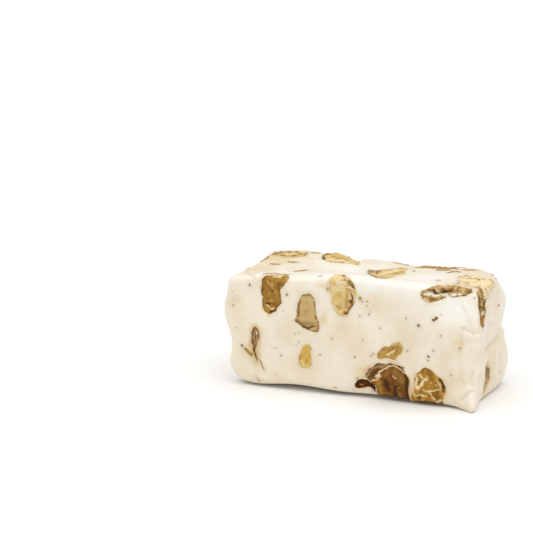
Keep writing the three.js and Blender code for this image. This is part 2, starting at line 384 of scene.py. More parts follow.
gridPoints, barSquares, barLayout = blockGrid((bar["length"], bar["depth"], bar["height"]), bar["cell"])
barPoints = softForm(gridPoints)
barNormals = normalsOf(barPoints, barSquares)
onTray = 1 - smoothStep(*bar["trayReach"], barPoints[:, 2])
barRelief = (lumpy(barPoints, barNormals) + dented(barPoints, barNormals)) * (1 - onTray)
fine = creased(barPoints, barNormals) * (1 - onTray)
barPoints = settle(barPoints + barNormals * (barRelief + fine)[:, None])
barNormals = normalsOf(barPoints, barSquares)

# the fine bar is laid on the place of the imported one
low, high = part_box("nougat")
middle = (barPoints.min(0) + barPoints.max(0)) / 2
originShift = np.array([(low.x + high.x) / 2 / mm - middle[0], (low.y + high.y) / 2 / mm - middle[1], 0])
print("bar shaped,", len(barSquares), "squares, moved by", originShift.round(2).tolist())


# The roasted almonds, each cut by one side of the bar

# what all kernels share, unless their own lines say otherwise
kernelDefaults = {
    "taper": 0.1,           # how much thinner a plain kernel is at its tip
    "broken": (),           # where a plain kernel is snapped off: direction and distance
    "wobble": 1.1, "wobbleSize": 3.3,       # height and size of the dents in a plain kernel
    "ragged": 0.16, "fraySize": 2.2,        # how far the outline frays
    "deep": 5,              # a drawn outline closes below the surface at about this depth
    "proud": 0.05,          # how far the cut face stands out of the nougat
    "crumble": 0.14,        # height of the facets and crumbs on the cut face
    "crumbSize": 1.6,       # size of a facet
    "ridge": 0.07,          # the skin stands up round the cut face
    "cleft": 0,             # depth of the split between the two halves
    "rim": 0.5,             # share of the outline that kept its brown skin
    "sheetStep": 0.12, "step": 0.26, "voxel": 0.2,      # squares of outline, rough and fine mesh
    "strokes": {},
}
# place: side, spot on it, how deep the middle lies, and turn in degrees
# halfSizes: length, width and thickness of a plain kernel
# outline: points round a cut face, as they lie on the side of the bar
# strokes: what shows on that face, for each kind the half width and the points of each line
kernels = {
    "almond_sliver": {
        "place": ("front", -31.9, 14.4, 0.3, 5), "finish": "sliver", "proud": -0.4, "deep": 4,
        "ragged": 0.1, "rim": 0.2,
        "outline": (-32.4, 20.5, -31, 20.4, -30.2, 18.8, -29.9, 17, -30.3, 15.5, -31.2, 13.9, -31.5, 12.4,
            -31.1, 10.5, -30.9, 8, -31.8, 8, -32.6, 11.3, -33.1, 13.2, -33.4, 15.3, -33.4, 17.5,
            -33.1, 19.3),
        "strokes": {
            "skin": ((0.26, -32.2, 19.8, -32.8, 18, -32.9, 15.9, -32.6, 13.4, -32.1, 10.9, -31.6, 9),
                (0.26, -30.2, 17.1, -30.5, 15.7, -31.3, 13.9, -32, 12.4), (0.14, -31.7, 16.9, -32, 15.4),
                (0.14, -31.2, 19, -30.9, 17.8)),
            "light": ((0.22, -31, 16.2, -31.8, 14.3),),
            "cream": ((0.2, -31.5, 18.4, -31.3, 17.5),)}},
    "almond_upright": {
        "place": ("front", -25.6, 32.2, 2.1, -6), "finish": "roasted", "proud": -0.35, "crumble": 0.26,
        "crumbSize": 2.6, "rim": 0.25, "deep": 3, "ragged": 0.22,
        "outline": (-29.2, 39, -30, 36.2, -30, 35.1, -30.1, 33.4, -30.2, 32.2, -30.1, 30.5, -29.8, 28.9,
            -29.6, 26.9, -29.1, 25.9, -28.5, 24.9, -27.3, 24, -26.1, 24.3, -25.2, 25.2, -24.1, 25.6,
            -24.5, 26.3, -23.9, 27.2, -22.3, 28.2, -22.9, 29.2, -22.8, 30.4, -23.2, 31.6, -23.1, 33.1,
            -22.1, 34.2, -21, 35.3, -20.4, 36.9, -20.2, 39),
        "strokes": {
            "skin": ((0.4, -29.2, 36.3, -29.7, 35.1, -29.9, 33.5, -30, 31.8, -29.8, 29.5, -29.4, 26.9),
                (0.3, -24.9, 25.9, -24.2, 27.2), (0.3, -29.3, 37.6, -27.5, 37.9, -24, 37.6, -21, 37.5)),
            "dark": ((0.25, -29.5, 36, -29.9, 33.5, -30, 31.8, -29.8, 29.5), (0.32, -28.1, 28, -27.2, 27.8),
                (0.38, -26.9, 25.4, -25.2, 25.6, -24.2, 25.8), (0.34, -24.3, 27.3, -23.2, 28, -22.3, 28.2)),
            "light": ((0.38, -28.1, 35.1, -27.2, 34.1, -26.1, 32.6), (0.28, -26.3, 34.8, -26.1, 32.6),
                (0.28, -27.2, 28.9, -25.9, 28.9), (0.22, -25.4, 31.8, -24.1, 30.9),
                (0.45, -28.2, 24.7, -26.7, 24.3), (0.35, -22.6, 35.7, -21.2, 36.5)),
            "deep": ((0.32, -28.7, 35, -27.6, 33.7, -26.3, 32.1), (0.55, -24.1, 34.8, -23.9, 32.8)),
            "cream": ((0.22, -28.1, 27.4, -27.4, 26.8), (0.2, -26.7, 26.4, -25.4, 26.6),
                (0.25, -28.2, 37.2, -26, 36.9, -23.5, 37))}},
    "almond_chip": {
        "place": ("front", -14.6, 12, 0.9, -14), "finish": "chip", "rim": 0, "deep": 4, "crumble": 0.1,
        "outline": (-14.5, 16, -13.2, 16, -12.4, 14.8, -13, 13.5, -12.7, 11.5, -12.8, 9, -13.5, 8.1,
            -15.3, 8.1, -16.6, 8.3, -17.4, 9.7, -17.3, 11.1, -16.7, 13.1, -15.8, 14.6, -15.2, 15.6),
        "strokes": {
            "skin": ((0.14, -17.1, 10.9, -16.8, 11.3),),
            "dark": ((0.24, -12.9, 15, -12.8, 14.3),),
            "light": ((0.6, -16.4, 8.9, -13.6, 8.6),),
            "deep": ((0.32, -17, 11.2, -16, 11.9), (0.35, -14, 11.3, -14.4, 10)),
            "cream": ((0.24, -16.4, 10.2, -15.4, 10), (0.24, -15.3, 9.3, -15.2, 9.1))}},
    "almond_oval": {
        "place": ("front", -13.7, 25.9, 1.6, -6), "finish": "glazed", "crumble": 0.08, "rim": 0.6,
        "ragged": 0.22,
        "outline": (-14.7, 32.6, -12.8, 32.4, -11.8, 31.6, -11.2, 30.2, -11.2, 27.7, -10.9, 25.5,
            -10.1, 23.7, -9.8, 22.3, -10.1, 20.2, -12.1, 19.9, -14.2, 20.4, -16.2, 21.6, -17.7, 22.5,
            -18.8, 23.3, -17.8, 25.1, -17.7, 27.2, -17.3, 29.3, -16.8, 30.3, -15.8, 31.9),
        "strokes": {
            "skin": ((0.5, -16.6, 30, -17, 28.1, -17.1, 26, -17.1, 24.9),
                (0.65, -18.1, 23.3, -16.6, 22.9, -15.3, 21.8, -13.8, 20.9), (0.4, -12.1, 20.4, -10.4, 20.5),
                (0.34, -11.8, 31, -11.4, 29, -11.3, 26.5, -11.1, 24.6),
                (0.22, -15.7, 31.7, -14.1, 32.2, -12.8, 31.9, -12, 31, -11.5, 29.8)),
            "dark": ((0.28, -15.7, 21.5, -14, 21.2, -12.1, 21.9), (0.16, -10.6, 23.4, -10.5, 23.2)),
            "light": ((0.38, -14.7, 20.2, -12.9, 20),),
            "deep": ((0.65, -14.6, 22.8, -12.1, 22.7, -11, 22), (0.55, -10.9, 23.5, -10.3, 21.2))}},
    "almond_pale": {
        "place": ("front", -2.5, 33, 2.3, 9), "finish": "pale", "proud": 0.1, "crumble": 0.12,
        "crumbSize": 2.4, "rim": 0.1, "deep": 3.6, "ragged": 0.2,
        "outline": (-6.5, 39.6, -6.8, 37.5, -7, 36.4, -6.7, 35.2, -7, 33.4, -6.5, 31.1, -6, 29.5,
            -5.3, 27.6, -4, 26.1, -2.3, 25.6, -1, 26.2, -0.1, 28, 1.1, 29.7, 1.6, 31.5, 2.2, 33.4,
            1.7, 34.8, 1.2, 36.4, 0.4, 37.7, -0.8, 38.2, -1.4, 38.4, -2.4, 40, -4.3, 40.3),
        "strokes": {
            "skin": ((0.28, -4.4, 39, -3.5, 38.8, -2.5, 38.3), (0.1, -3.7, 37.3, -2.1, 37.3),
                (0.65, -0.5, 36.9, 0.5, 35.9, 0.9, 35.4), (0.42, 0.2, 34.3, 0.6, 32.9, 0.5, 31, 0.4, 29.6),
                (0.75, 0.1, 30.7, 0.8, 30), (0.55, -1.9, 27.3, -0.9, 27.2, -0.3, 28.3, 0.4, 29.5)),
            "dark": ((0.3, -1.9, 37.4, -1.7, 37.1), (0.25, 0.5, 35.5, 1.1, 35.2),
                (0.16, 0.3, 34, 0.5, 32.4, 0.3, 30.6), (0.25, -0.2, 30.9, 0.3, 30.2),
                (0.2, -1.7, 27.1, -0.8, 26.9)),
            "light": ((0.8, -6, 38.1, -4.6, 37.4, -3.5, 38.2), (0.45, -6, 34.2, -2, 34.3),
                (0.3, -6.4, 33, -6, 30.5, -4.8, 27.8)),
            "deep": ((0.65, -1, 33.5, -1.2, 29), (0.4, -4.3, 29.1, -3, 28.4)),
            "cream": ((0.6, -4.3, 36.7, -2, 36.7),
                (0.22, -6.8, 35.4, -4.9, 35.1, -3.2, 35.5, -1.6, 35.2, 0, 35.4, 1, 34.7),
                (0.22, 0.3, 34.2, 1, 32.7, 0.8, 31.4))}},
    "almond_skin_tip": {
        "place": ("front", 4.2, 4.6, 0.7, -86), "finish": "burnt", "proud": -0.35, "rim": 0.3, "deep": 3,
        "ragged": 0.12, "crumble": 0.2, "crumbSize": 1, "voxel": 0.15,
        "outline": (1.6, 4.2, 2.8, 6.7, 5.3, 6.7, 7.2, 6.2, 8.9, 5.5, 8.9, 3, 7.6, 2, 6.8, 2.2, 7.1, 3.1,
            6.8, 3.6, 5.9, 3.7, 4.8, 3.1, 3.4, 2.9, 2.4, 3.2, 1.5, 2.6),
        "strokes": {
            "dark": ((0.6, 2.6, 4.7, 3.3, 5.6, 5.1, 5.6, 6.8, 5.1, 7.8, 4.4, 7.4, 3),),
            "light": ((0.2, 4.6, 5.1, 6, 4.9),),
            "ochre": ((0.28, 3.4, 4.7, 4.3, 4.3),)}},
    "almond_dark": {
        "place": ("front", 12.7, 5.4, 3.6, 62), "finish": "skin", "proud": -0.35, "crumble": 0.34,
        "crumbSize": 3, "rim": 0.4, "deep": 7, "ragged": 0.22,
        "outline": (8.1, -1, 8.3, 2.3, 8.5, 3.5, 8.2, 4.8, 6.6, 5.8, 5.1, 7.3, 5.5, 8.6, 6.4, 10.1,
            8.1, 11.7, 10.1, 12.5, 13, 12.7, 15, 12.4, 17.5, 11.5, 18.5, 9.8, 19.5, 8.3, 19.8, 6.7,
            19.6, 4.9, 19.7, 3.3, 20, 2, 20.2, -1),
        "strokes": {
            "skin": ((0.3, 6.4, 7.2, 7.6, 9.4, 9.4, 10.6),
                (0.34, 8.4, 11.2, 9.5, 12.1, 11.4, 12.4, 14, 12.4), (0.28, 5.5, 8.2, 6.4, 9.5),
                (0.5, 7.7, 7.9, 8.3, 9, 9.3, 9.9), (0.22, 10, 10.1, 11.5, 10.8)),
            "dark": ((0.55, 18.4, 9, 18.6, 6.6, 18.5, 4.1, 18.7, 0.5), (0.5, 14.8, 4.9, 14.6, 3.7, 15.1, 1),
                (0.75, 11.6, 6.4, 12, 5, 12.7, 3.8)),
            "light": ((1, 14.9, 9.9, 16.1, 8.7, 16.8, 7), (0.5, 12.5, 9.4, 11.5, 8.2),
                (0.28, 15.4, 4.4, 16.4, 4.9), (0.5, 16.2, 2.6, 16.7, 1.2)),
            "cream": ((0.2, 6.6, 6, 7.6, 6.2, 9.1, 6.8, 10.1, 7.7, 9.7, 9.2, 10.8, 9.9, 12.2, 11.1,
                13.6, 11.8, 15, 11.7, 16.5, 11, 18.2, 9.5), (0.5, 8.8, 7.7, 9.6, 8.2),
                (0.13, 14.1, 8.7, 15, 7.8)),
            "grey": ((0.8, 5.9, 7.6, 6.8, 9.2, 8.9, 10.9, 11.8, 11.6),),
            "ochre": ((0.95, 9.4, 5.6, 9.6, 3.9, 10, 2.6), (0.4, 8.8, 1.2, 9.8, 1.9, 11.7, 2.2),
                (0.25, 19.2, 8.4, 19.6, 7.2))}},
    "almond_lobed": {
        "place": ("front", 13.2, 16.4, 1, -62), "finish": "golden", "rim": 0, "deep": 4, "crumble": 0.12,
        "outline": (10.1, 17.2, 11.7, 18.3, 12.6, 17.7, 14.1, 19, 15.8, 19.8, 17.1, 19.2, 17.6, 17.8,
            17, 16, 15.9, 14.9, 15.1, 13.8, 14.2, 13.4, 12.8, 14.2, 11.6, 13.9, 10.5, 13.3, 9.2, 13.7,
            8.8, 15, 9.4, 16.3),
        "strokes": {
            "skin": ((0.15, 12.5, 17.3, 12.7, 17.1),),
            "light": ((0.38, 13.5, 18.5, 15.6, 19.1, 16.7, 18.2),),
            "deep": ((0.32, 10.5, 16.9, 11.3, 16.8), (0.3, 12.7, 16.9, 13, 15.6),
                (0.42, 12.9, 14.2, 14.4, 13.7, 14.8, 13.9), (0.3, 15.4, 16.9, 15, 15.3),
                (0.35, 13.7, 17.4, 15.6, 17.9)),
            "cream": ((0.28, 12.5, 15.2, 13.5, 16, 14.6, 16.5),)}},
    "almond_golden": {
        "place": ("front", 25.6, 5.6, 3.3, 34), "finish": "ochre", "crumble": 0.26, "crumbSize": 2.4,
        "proud": -0.1, "deep": 6.5, "ragged": 0.2,
        "outline": (24.6, 12.4, 26.1, 12, 27.6, 10.9, 28.4, 10, 29.8, 9.6, 30.9, 7.9, 31.6, 5.5, 31.2, 3.5,
            30.6, 2.1, 30.2, -1, 20.3, -1, 20.2, 1.6, 20.4, 3.3, 21, 4.4, 20.8, 6, 20.8, 8, 21.3, 9.7,
            22.6, 11, 23.3, 12),
        "strokes": {
            "skin": ((0.22, 22.8, 11.3, 24.6, 12.2, 26.5, 11.5, 28.4, 9.8),
                (0.28, 29.9, 7.8, 30.4, 6, 30.9, 5.2), (0.4, 22.3, 2.4, 23.1, 2.1)),
            "dark": ((0.48, 29.5, 9, 30.2, 8.1, 30.9, 6.6), (0.24, 21.1, 8.6, 21.6, 7.4),
                (0.22, 22.5, 7.1, 23, 7.5)),
            "light": ((0.55, 30.8, 4.4, 30.9, 3.3),),
            "deep": ((0.9, 27.7, 4.2, 28.8, 3), (0.4, 23.9, 11.1, 24.1, 10.4),
                (0.6, 25.8, 10.6, 27.2, 8.8)),
            "cream": ((0.42, 21.5, 9.7, 21.9, 8.5, 21.4, 6.3, 22.2, 5.4, 23.4, 6.3, 24, 8, 25.3, 8.7),
                (0.26, 22.9, 9.8, 23.6, 8.7), (0.15, 23.7, 5.1, 25.5, 4.7, 27.7, 5.3, 29.5, 5.7),
                (0.17, 26.1, 4.7, 27.2, 3, 28.8, 1), (0.16, 28.8, 8.2, 29.7, 6.3), (0.22, 27.9, 7, 28.1, 7),
                (0.18, 26.4, 7.7, 26.5, 7.5), (0.15, 20.9, 4.3, 21.4, 3.1, 22.7, 3.3, 25.3, 3.3),
                (0.36, 29.1, 1.8, 29.8, 2.3))}},
    "almond_crumbly": {
        "place": ("front", 30.8, 35.7, 2.6, -78), "finish": "crumbly", "crumble": 0.42, "crumbSize": 1.1,
        "proud": -0.2, "deep": 4, "ragged": 0.35,
        "outline": (22.4, 34.9, 23.1, 36.2, 24.5, 37.2, 26.8, 38.2, 30, 39.3, 33, 41, 39, 41, 40.8, 39.3,
            39.5, 37, 37.8, 36.2, 36.4, 35.6, 33, 34.9, 30.1, 34.3, 28.2, 33.3, 25.7, 32.5, 24, 32.7,
            23.5, 34),
        "strokes": {
            "skin": ((0.5, 25.1, 36.8, 26.6, 36.5, 27.9, 35.9), (0.6, 29.2, 37, 30.9, 36.7, 32.2, 37.4),
                (0.3, 33.3, 38.9, 34.1, 37.2), (0.2, 27.2, 33.2, 29.2, 34.2, 31.6, 35),
                (0.25, 32.8, 35, 34.9, 35.5, 37, 36), (0.32, 23.7, 34.5, 24.7, 35),
                (0.45, 36.6, 37.1, 38.5, 36.8), (0.28, 23.1, 36.2, 22.7, 35.2)),
            "dark": ((0.38, 26.5, 36.9, 28.1, 35.8), (0.36, 29.5, 36.5, 31.8, 37)),
            "light": ((0.6, 24, 34.3, 24.3, 33.2, 25.7, 33),),
            "cream": ((0.45, 24.2, 35.3, 25.7, 35.6, 27.2, 35.1, 29.1, 35.4, 31, 35.8),
                (0.38, 31.2, 35.4, 33, 35.9, 34.9, 36.1), (0.55, 39.3, 39.1, 39.9, 37.5)),
            "ochre": ((0.6, 26.2, 33.7, 27.5, 33.8), (0.9, 34.9, 39, 35.9, 39.3))}},
    "almond_corner": {
        "place": ("right", -10.6, 30.4, 1.4, 6), "finish": "brittle", "crumble": 0.42, "crumbSize": 1,
        "proud": -0.25, "rim": 0.6, "deep": 4, "ragged": 0.4,
        "outline": (-16.5, 36.5, -13.5, 36.8, -8.3, 35.6, -5.8, 34.8, -4.6, 32.8, -6, 31.3, -5.2, 28.8,
            -7.6, 26.2, -11.5, 24.6, -15.4, 25.2, -16.1, 27.9, -15.8, 30.2, -17, 33.1),
        "strokes": {
            "skin": ((0.9, -14.9, 35.5, -14, 32.1, -13.4, 30.8), (1.1, -6.6, 31.8, -9.4, 30.1, -7.8, 27.5),
                (0.6, -15.6, 26.2, -14.8, 25.6)),
            "dark": ((0.5, -6.6, 31.8, -4.7, 31.2), (0.5, -14.6, 31.4, -12.6, 29.6)),
            "light": ((1, -9, 33, -11.4, 32.2),),
            "cream": ((0.4, -8.6, 29, -11.5, 28.8),),
            "ochre": ((2.1, -13.6, 29.2, -12.4, 26.2), (1.3, -5.8, 33.4, -8.8, 34.2),
                (1.1, -15.6, 34.4, -14.8, 30.2), (0.8, -9, 29.6, -6.2, 29.8))}},
    "almond_slit": {
        "place": ("right", -2.6, 7, -0.4, -8), "finish": "glazed", "proud": -0.5, "deep": 3, "ragged": 0.2,
        "outline": (-4.4, 12.8, -3.5, 10.9, -3, 6.4, -3.6, 4, -4.9, 0.9, -5.3, 3, -4.9, 5.6, -5.1, 8.5,
            -5, 10.8),
        "strokes": {
            "skin": ((0.35, -3.4, 10.8, -2.9, 8, -2.9, 5.7),),
            "dark": ((0.5, -4.8, 3.6, -5, 2.4),),
            "light": ((0.8, -4.2, 10.6, -3.9, 6.4),),
            "cream": ((0.3, -4.9, 9.3, -4.7, 6.4),),
            "grey": ((0.8, -4.2, 11, -3.8, 7.4),)}},
    "almond_hump": {
        "place": ("top", -29, 13.4, -0.4, -84), "finish": "pale", "rim": 0.3, "deep": 3.5, "crumble": 0.2,
        "ragged": 0.4,
        "outline": (-38, 10.6, -34.8, 13.6, -31.2, 15.8, -26.6, 14.2, -24.6, 10.4, -26.2, 6.8, -29.4, 6.6,
            -33, 8, -36.8, 9),
        "strokes": {
            "skin": ((0.35, -37, 10.6, -33.2, 12.4, -29.6, 13.6), (0.3, -33.6, 8.6, -30, 8, -27.2, 8.2)),
            "light": ((0.8, -30.8, 14.4, -27.4, 13.2),),
            "deep": ((0.9, -34, 10, -30, 11.6, -26.8, 11),),
            "cream": ((0.6, -31.6, 9.6, -28.8, 9.8),),
            "ochre": ((0.7, -35.4, 12.2, -32.4, 14),)}},
    "almond_back_edge": {
        "place": ("top", -15.6, 13.6, 0.6, -96), "finish": "pale", "proud": 0, "rim": 0.7, "deep": 4,
        "crumble": 0.2,
        "outline": (-19.9, 9.8, -20.4, 13.6, -18.8, 18.5, -9.5, 18.5, -6.6, 13, -6.2, 9.4, -6.9, 7.8,
            -9.2, 8.6, -11.2, 8, -13.6, 6.2, -16.4, 6.7, -18.4, 7.6),
        "strokes": {
            "skin": ((0.8, -19.9, 10.1, -19.7, 13, -18.5, 15.5), (0.4, -16.4, 7, -13.6, 6.6, -11.2, 8.4),
                (0.5, -12.3, 15.2, -9, 15)),
            "dark": ((1, -19.4, 9.6, -18, 8),),
            "deep": ((0.9, -16.7, 12.2, -11.6, 12.4),),
            "cream": ((0.9, -17.2, 9.2, -14.9, 9.6, -12.7, 10.7, -9.9, 10.2),)}},
    "almond_top_wide": {
        "place": ("top", 6.2, -6, 0.2, -44), "finish": "pale", "rim": 0.7, "crumble": 0.12, "deep": 4,
        "outline": (-0.8, 0.6, 0.6, 2.4, 3, 2.4, 5.1, 5, 7.6, 8.4, 9.6, 10.2, 10.9, 7, 11.2, 2, 12.8, -2.4,
            12.6, -7.4, 11.2, -11, 9.6, -14.2, 7.4, -14.6, 4.9, -12.3, 2.2, -7.5, 0.3, -3),
        "strokes": {
            "skin": ((0.5, 7, -14, 9.6, -13.8, 11, -11.3), (0.5, 3.2, 2.2, 5.2, 4.7, 7.7, 8, 10, 10.4),
                (0.6, 4.2, -5, 3.2, -0.1)),
            "light": ((1.2, 6.8, -3, 8.4, 4.2),),
            "deep": ((1.2, 9, -5.5, 10.3, 0.8),),
            "cream": ((1.2, 12, -8.2, 12.4, -3.8), (0.7, 6.2, -8.6, 7, -4, 9.4, 4)),
            "grey": ((1.4, 1.4, -2.8, 0.7, 0.9, 2.6, 1.2), (0.7, 0.6, -3.9, 4.6, -11.4, 7, -13.8))}},
    "almond_top_right": {
        "place": ("top", 33.6, 1.6, 2, -64), "finish": "creamy", "rim": 0.3, "crumble": 0.3,
        "crumbSize": 1.2, "ragged": 0.4, "deep": 3.5,
        "outline": (28.6, 1.5, 29.8, 4.9, 32.6, 6.2, 36.2, 6.4, 39.8, 4.4, 42.4, 0, 43.4, -9, 40.6, -12.8,
            37.2, -13.4, 35.2, -10.8, 33, -13, 31.4, -10, 31.8, -5.6, 30.2, -2.4),
        "strokes": {
            "skin": ((0.5, 28.8, 2.2, 29.8, 3.6), (0.5, 30.1, 5, 31.8, 5.4), (0.6, 32.2, -12.2, 31.8, -8.6),
                (0.5, 39, 4.2, 41, 2.4)),
            "dark": ((0.4, 31.9, 1.1, 32.3, 1.2),),
            "deep": ((1.4, 34.6, -8, 33, -5),),
            "cream": ((1.3, 36.6, -8, 38.4, -4, 37.6, -0.6), (1.2, 32, -3.5, 35, -1)),
            "ochre": ((0.9, 38, -11.6, 40.4, -9), (1, 33.5, 2, 36.5, 2.4))}},
    "almond_top_back": {"place": ("top", 20.6, 15.4, 1, -88), "halfSizes": (7.8, 2.7, 3.2),
        "finish": "golden"},
    "almond_back_1": {"place": ("back", 31.6, 25, 1.9, 24), "halfSizes": (7.8, 4.6, 4.2),
        "finish": "roasted", "taper": 0.12, "broken": ((0, 4),), "crumble": 0.26, "crumbSize": 2.4,
        "proud": -0.3},
    "almond_back_2": {"place": ("back", 24.6, 8.8, 1.9, -58), "halfSizes": (5.6, 3.6, 4), "finish": "pale",
        "taper": 0.06, "rim": 0.2},
    "almond_back_3": {"place": ("back", 12.4, 22.2, 1.1, 74), "halfSizes": (5, 2.6, 3.4),
        "finish": "golden", "cleft": 0.2},
    "almond_back_4": {"place": ("back", 2.6, 6.6, 2.7, 70), "halfSizes": (7.4, 5.2, 5.2), "finish": "skin",
        "taper": 0.08, "proud": -0.35, "crumble": 0.3, "crumbSize": 2.6},
    "almond_back_5": {"place": ("back", -5.4, 25.6, 1.5, -34), "halfSizes": (7.2, 3.8, 4),
        "finish": "ochre", "taper": 0.14, "crumble": 0.24, "crumbSize": 2.2},
    "almond_back_6": {"place": ("back", -21, 14.2, 0.9, 12), "halfSizes": (6.4, 3.4, 4), "finish": "glazed",
        "broken": ((90, 5),), "rim": 0.7},
    "almond_back_7": {"place": ("back", -33, 26.2, 1.7, 48), "halfSizes": (5.8, 3.8, 3.8),
        "finish": "crumbly", "crumble": 0.4, "crumbSize": 1.1},
    "almond_left_1": {"place": ("left", -6.4, 27, 0.4, 28), "halfSizes": (7, 4, 4.2), "finish": "ochre",
        "taper": 0.12, "crumble": 0.26, "crumbSize": 2.2},
    "almond_left_2": {"place": ("left", 6.4, 11.2, 2, -52), "halfSizes": (6.2, 3.4, 4), "finish": "pale",
        "broken": ((90, 5),), "rim": 0.3},
    "almond_under_1": {"place": ("bottom", -20, 3.4, 1.2, 64), "halfSizes": (7.2, 4.2, 3.6),
        "finish": "roasted"},
    "almond_under_2": {"place": ("bottom", 24, 4.6, 1.2, -40), "halfSizes": (6.4, 3.8, 3.4),
        "finish": "golden"},
}


class Kernel:
    # a kernel has its long axis along its own Y and its thickness along its own Z
    def __init__(self, node, seed, own):
        side, x, y, sunk, turn = own["place"]
        self.node, self.seed, self.side = node, seed, side
        self.look = {**kernelDefaults, **own}
        self.outward, up, self.flatAxes, self.reach = sides[side]
        self.outward, up = np.array(self.outward, float), np.array(up, float)
        across = np.cross(up, self.outward)
        c, s = math.cos(math.radians(turn)), math.sin(math.radians(turn))
        self.axes = np.array([c * across + s * up, c * up - s * across, self.outward])
        self.middle = placeOn(side, [(x, y)], sunk)[0]
        self.sheet = None
        if "outline" in own:
            self.drawSheet(pairs(own["outline"]))
        else:
            along, across, thick = own["halfSizes"]
            self.sizes = np.array([across, along, thick], float)
            room = np.abs(self.axes.T) @ self.sizes * 1.25 + 0.8
            self.low, self.high = self.middle - room, self.middle + room

    def drawSheet(self, loop):
        # distance to the rounded outline, kept on a fine sheet
        for _ in range(2):
            loop = cutCorners(loop, np.roll(loop, -1, axis=0))
        self.sheetLow = loop.min(0) - 3
        spots, counts = evenGrid(self.sheetLow, loop.max(0) + 3, self.look["sheetStep"])
        best = np.full(len(spots), 99.0)
        crossings = np.zeros(len(spots), int)
        for a, b in zip(loop, np.roll(loop, -1, axis=0)):
            best = np.minimum(best, np.linalg.norm(fromStretch(spots, a, b), axis=1))
            between = (a[1] > spots[:, 1]) != (b[1] > spots[:, 1])
            run, rise = b - a
            crossings += between & (spots[:, 0] < run * (spots[:, 1] - a[1]) / (rise or 1) + a[0])
        self.sheet = np.where(crossings % 2 == 1, -best, best).reshape(counts)
        inner = placeOn(self.side, [loop.min(0) - 0.7], 8)[0]
        outer = placeOn(self.side, [loop.max(0) + 0.7], -3)[0]
        self.low, self.high = np.minimum(inner, outer), np.maximum(inner, outer)

    def toOwn(self, points):
        return (points - self.middle) @ self.axes.T

    def worldField(self, points):
        # distance from the skin, in millimetres: below zero inside the kernel
        if self.sheet is None:
            return self.ovalField(self.toOwn(points))
        look = self.look
        fray = [layered(points, look["fraySize"], 300 + 7 * self.seed + 3 * i, 2) for i in range(2)]
        flat = points[:, self.flatAxes] + look["ragged"] * np.stack(fray, 1)
        place = (flat - self.sheetLow) / look["sheetStep"]
        place = np.clip(place, 0, np.array(self.sheet.shape) - 1.001)
        cell = place.astype(int)
        part = place - cell
        distance = 0
        for i, j in np.ndindex(2, 2):
            weight = (part[:, 0] if i else 1 - part[:, 0]) * (part[:, 1] if j else 1 - part[:, 1])
            distance = distance + weight * self.sheet[cell[:, 0] + i, cell[:, 1] + j]
        below = np.maximum(self.reach - points @ self.outward, 0)
        return distance + 0.5 * below ** 2 / look["deep"]

    def ovalField(self, own):
        look = self.look
        seed = 300 + 7 * self.seed
        own = own + look["wobble"] * drift(own, look["wobbleSize"], seed, seed + 1, seed + 2)
        own = own + 0.6 * look["ragged"] * layered(own, 1.4, 340 + self.seed, 2)[:, None]
        share = np.clip(own[:, 1] / self.sizes[1], -1.2, 1.2)
        radii = np.stack([self.sizes[0] * (1 - look["taper"] * (1 + share)),
                          np.full(len(own), self.sizes[1]),
                          self.sizes[2] * (1 - look["taper"] * share / 2)], 1)
        near = np.linalg.norm(own / radii, axis=1)
        steep = np.linalg.norm(own / radii ** 2, axis=1)
        distance = near * (near - 1) / np.maximum(steep, 1e-6)
        for direction, reach in look["broken"]:
            angle = math.radians(direction)
            past = own[:, 0] * math.cos(angle) + own[:, 1] * math.sin(angle) - reach
            distance = np.maximum(distance, past)
        return distance

    def slope(self, points):
        # direction in which the field grows, per millimetre
        step = 0.05
        parts = [self.worldField(points + step * axis) - self.worldField(points - step * axis)
                 for axis in np.eye(3)]
        return np.stack(parts, 1) / (2 * step)

    def skinMesh(self):
        step = self.look["step"]
        spots, counts = evenGrid(self.low, self.high, step)
        values = self.worldField(spots).reshape(counts)
        for axis in range(3):
            ends = np.moveaxis(values, axis, 0)
            ends[[0, -1]] = np.maximum(ends[[0, -1]], 0.05)
        points, squares = wrapped(values)
        return meshFrom(self.node, points * step + self.low, squares.tolist())


def wrapped(values):
    # squares round all places of a block of values that are below zero
    cells = np.array(values.shape) - 1
    total = np.zeros((cells.prod(), 3))
    count = np.zeros(cells.prod())
    squares = []
    for axis in range(3):
        u, v = (axis + 1) % 3, (axis + 2) % 3
        first = np.moveaxis(np.moveaxis(values, axis, 0)[:-1], 0, axis)
        second = np.moveaxis(np.moveaxis(values, axis, 0)[1:], 0, axis)
        edges = np.argwhere((first < 0) != (second < 0))
        a, b = first[tuple(edges.T)], second[tuple(edges.T)]
        crossing = edges + np.eye(3)[axis] * (a / (a - b))[:, None]
        around = []
        for du, dv in ((1, 1), (0, 1), (0, 0), (1, 0)):
            cell = edges.copy()
            cell[:, u] -= du
            cell[:, v] -= dv
            index = (cell[:, 0] * cells[1] + cell[:, 1]) * cells[2] + cell[:, 2]
            around.append(index)
            count += np.bincount(index, minlength=len(count))
            for part in range(3):
                total[:, part] += np.bincount(index, crossing[:, part], len(count))
        around = np.stack(around, 1)
        squares.append(np.where((a < 0)[:, None], around, around[:, ::-1]))
    used = np.nonzero(count)[0]
    place = np.zeros(len(count), int)
    place[used] = np.arange(len(used))
    return total[used] / count[used][:, None], place[np.concatenate(squares)]


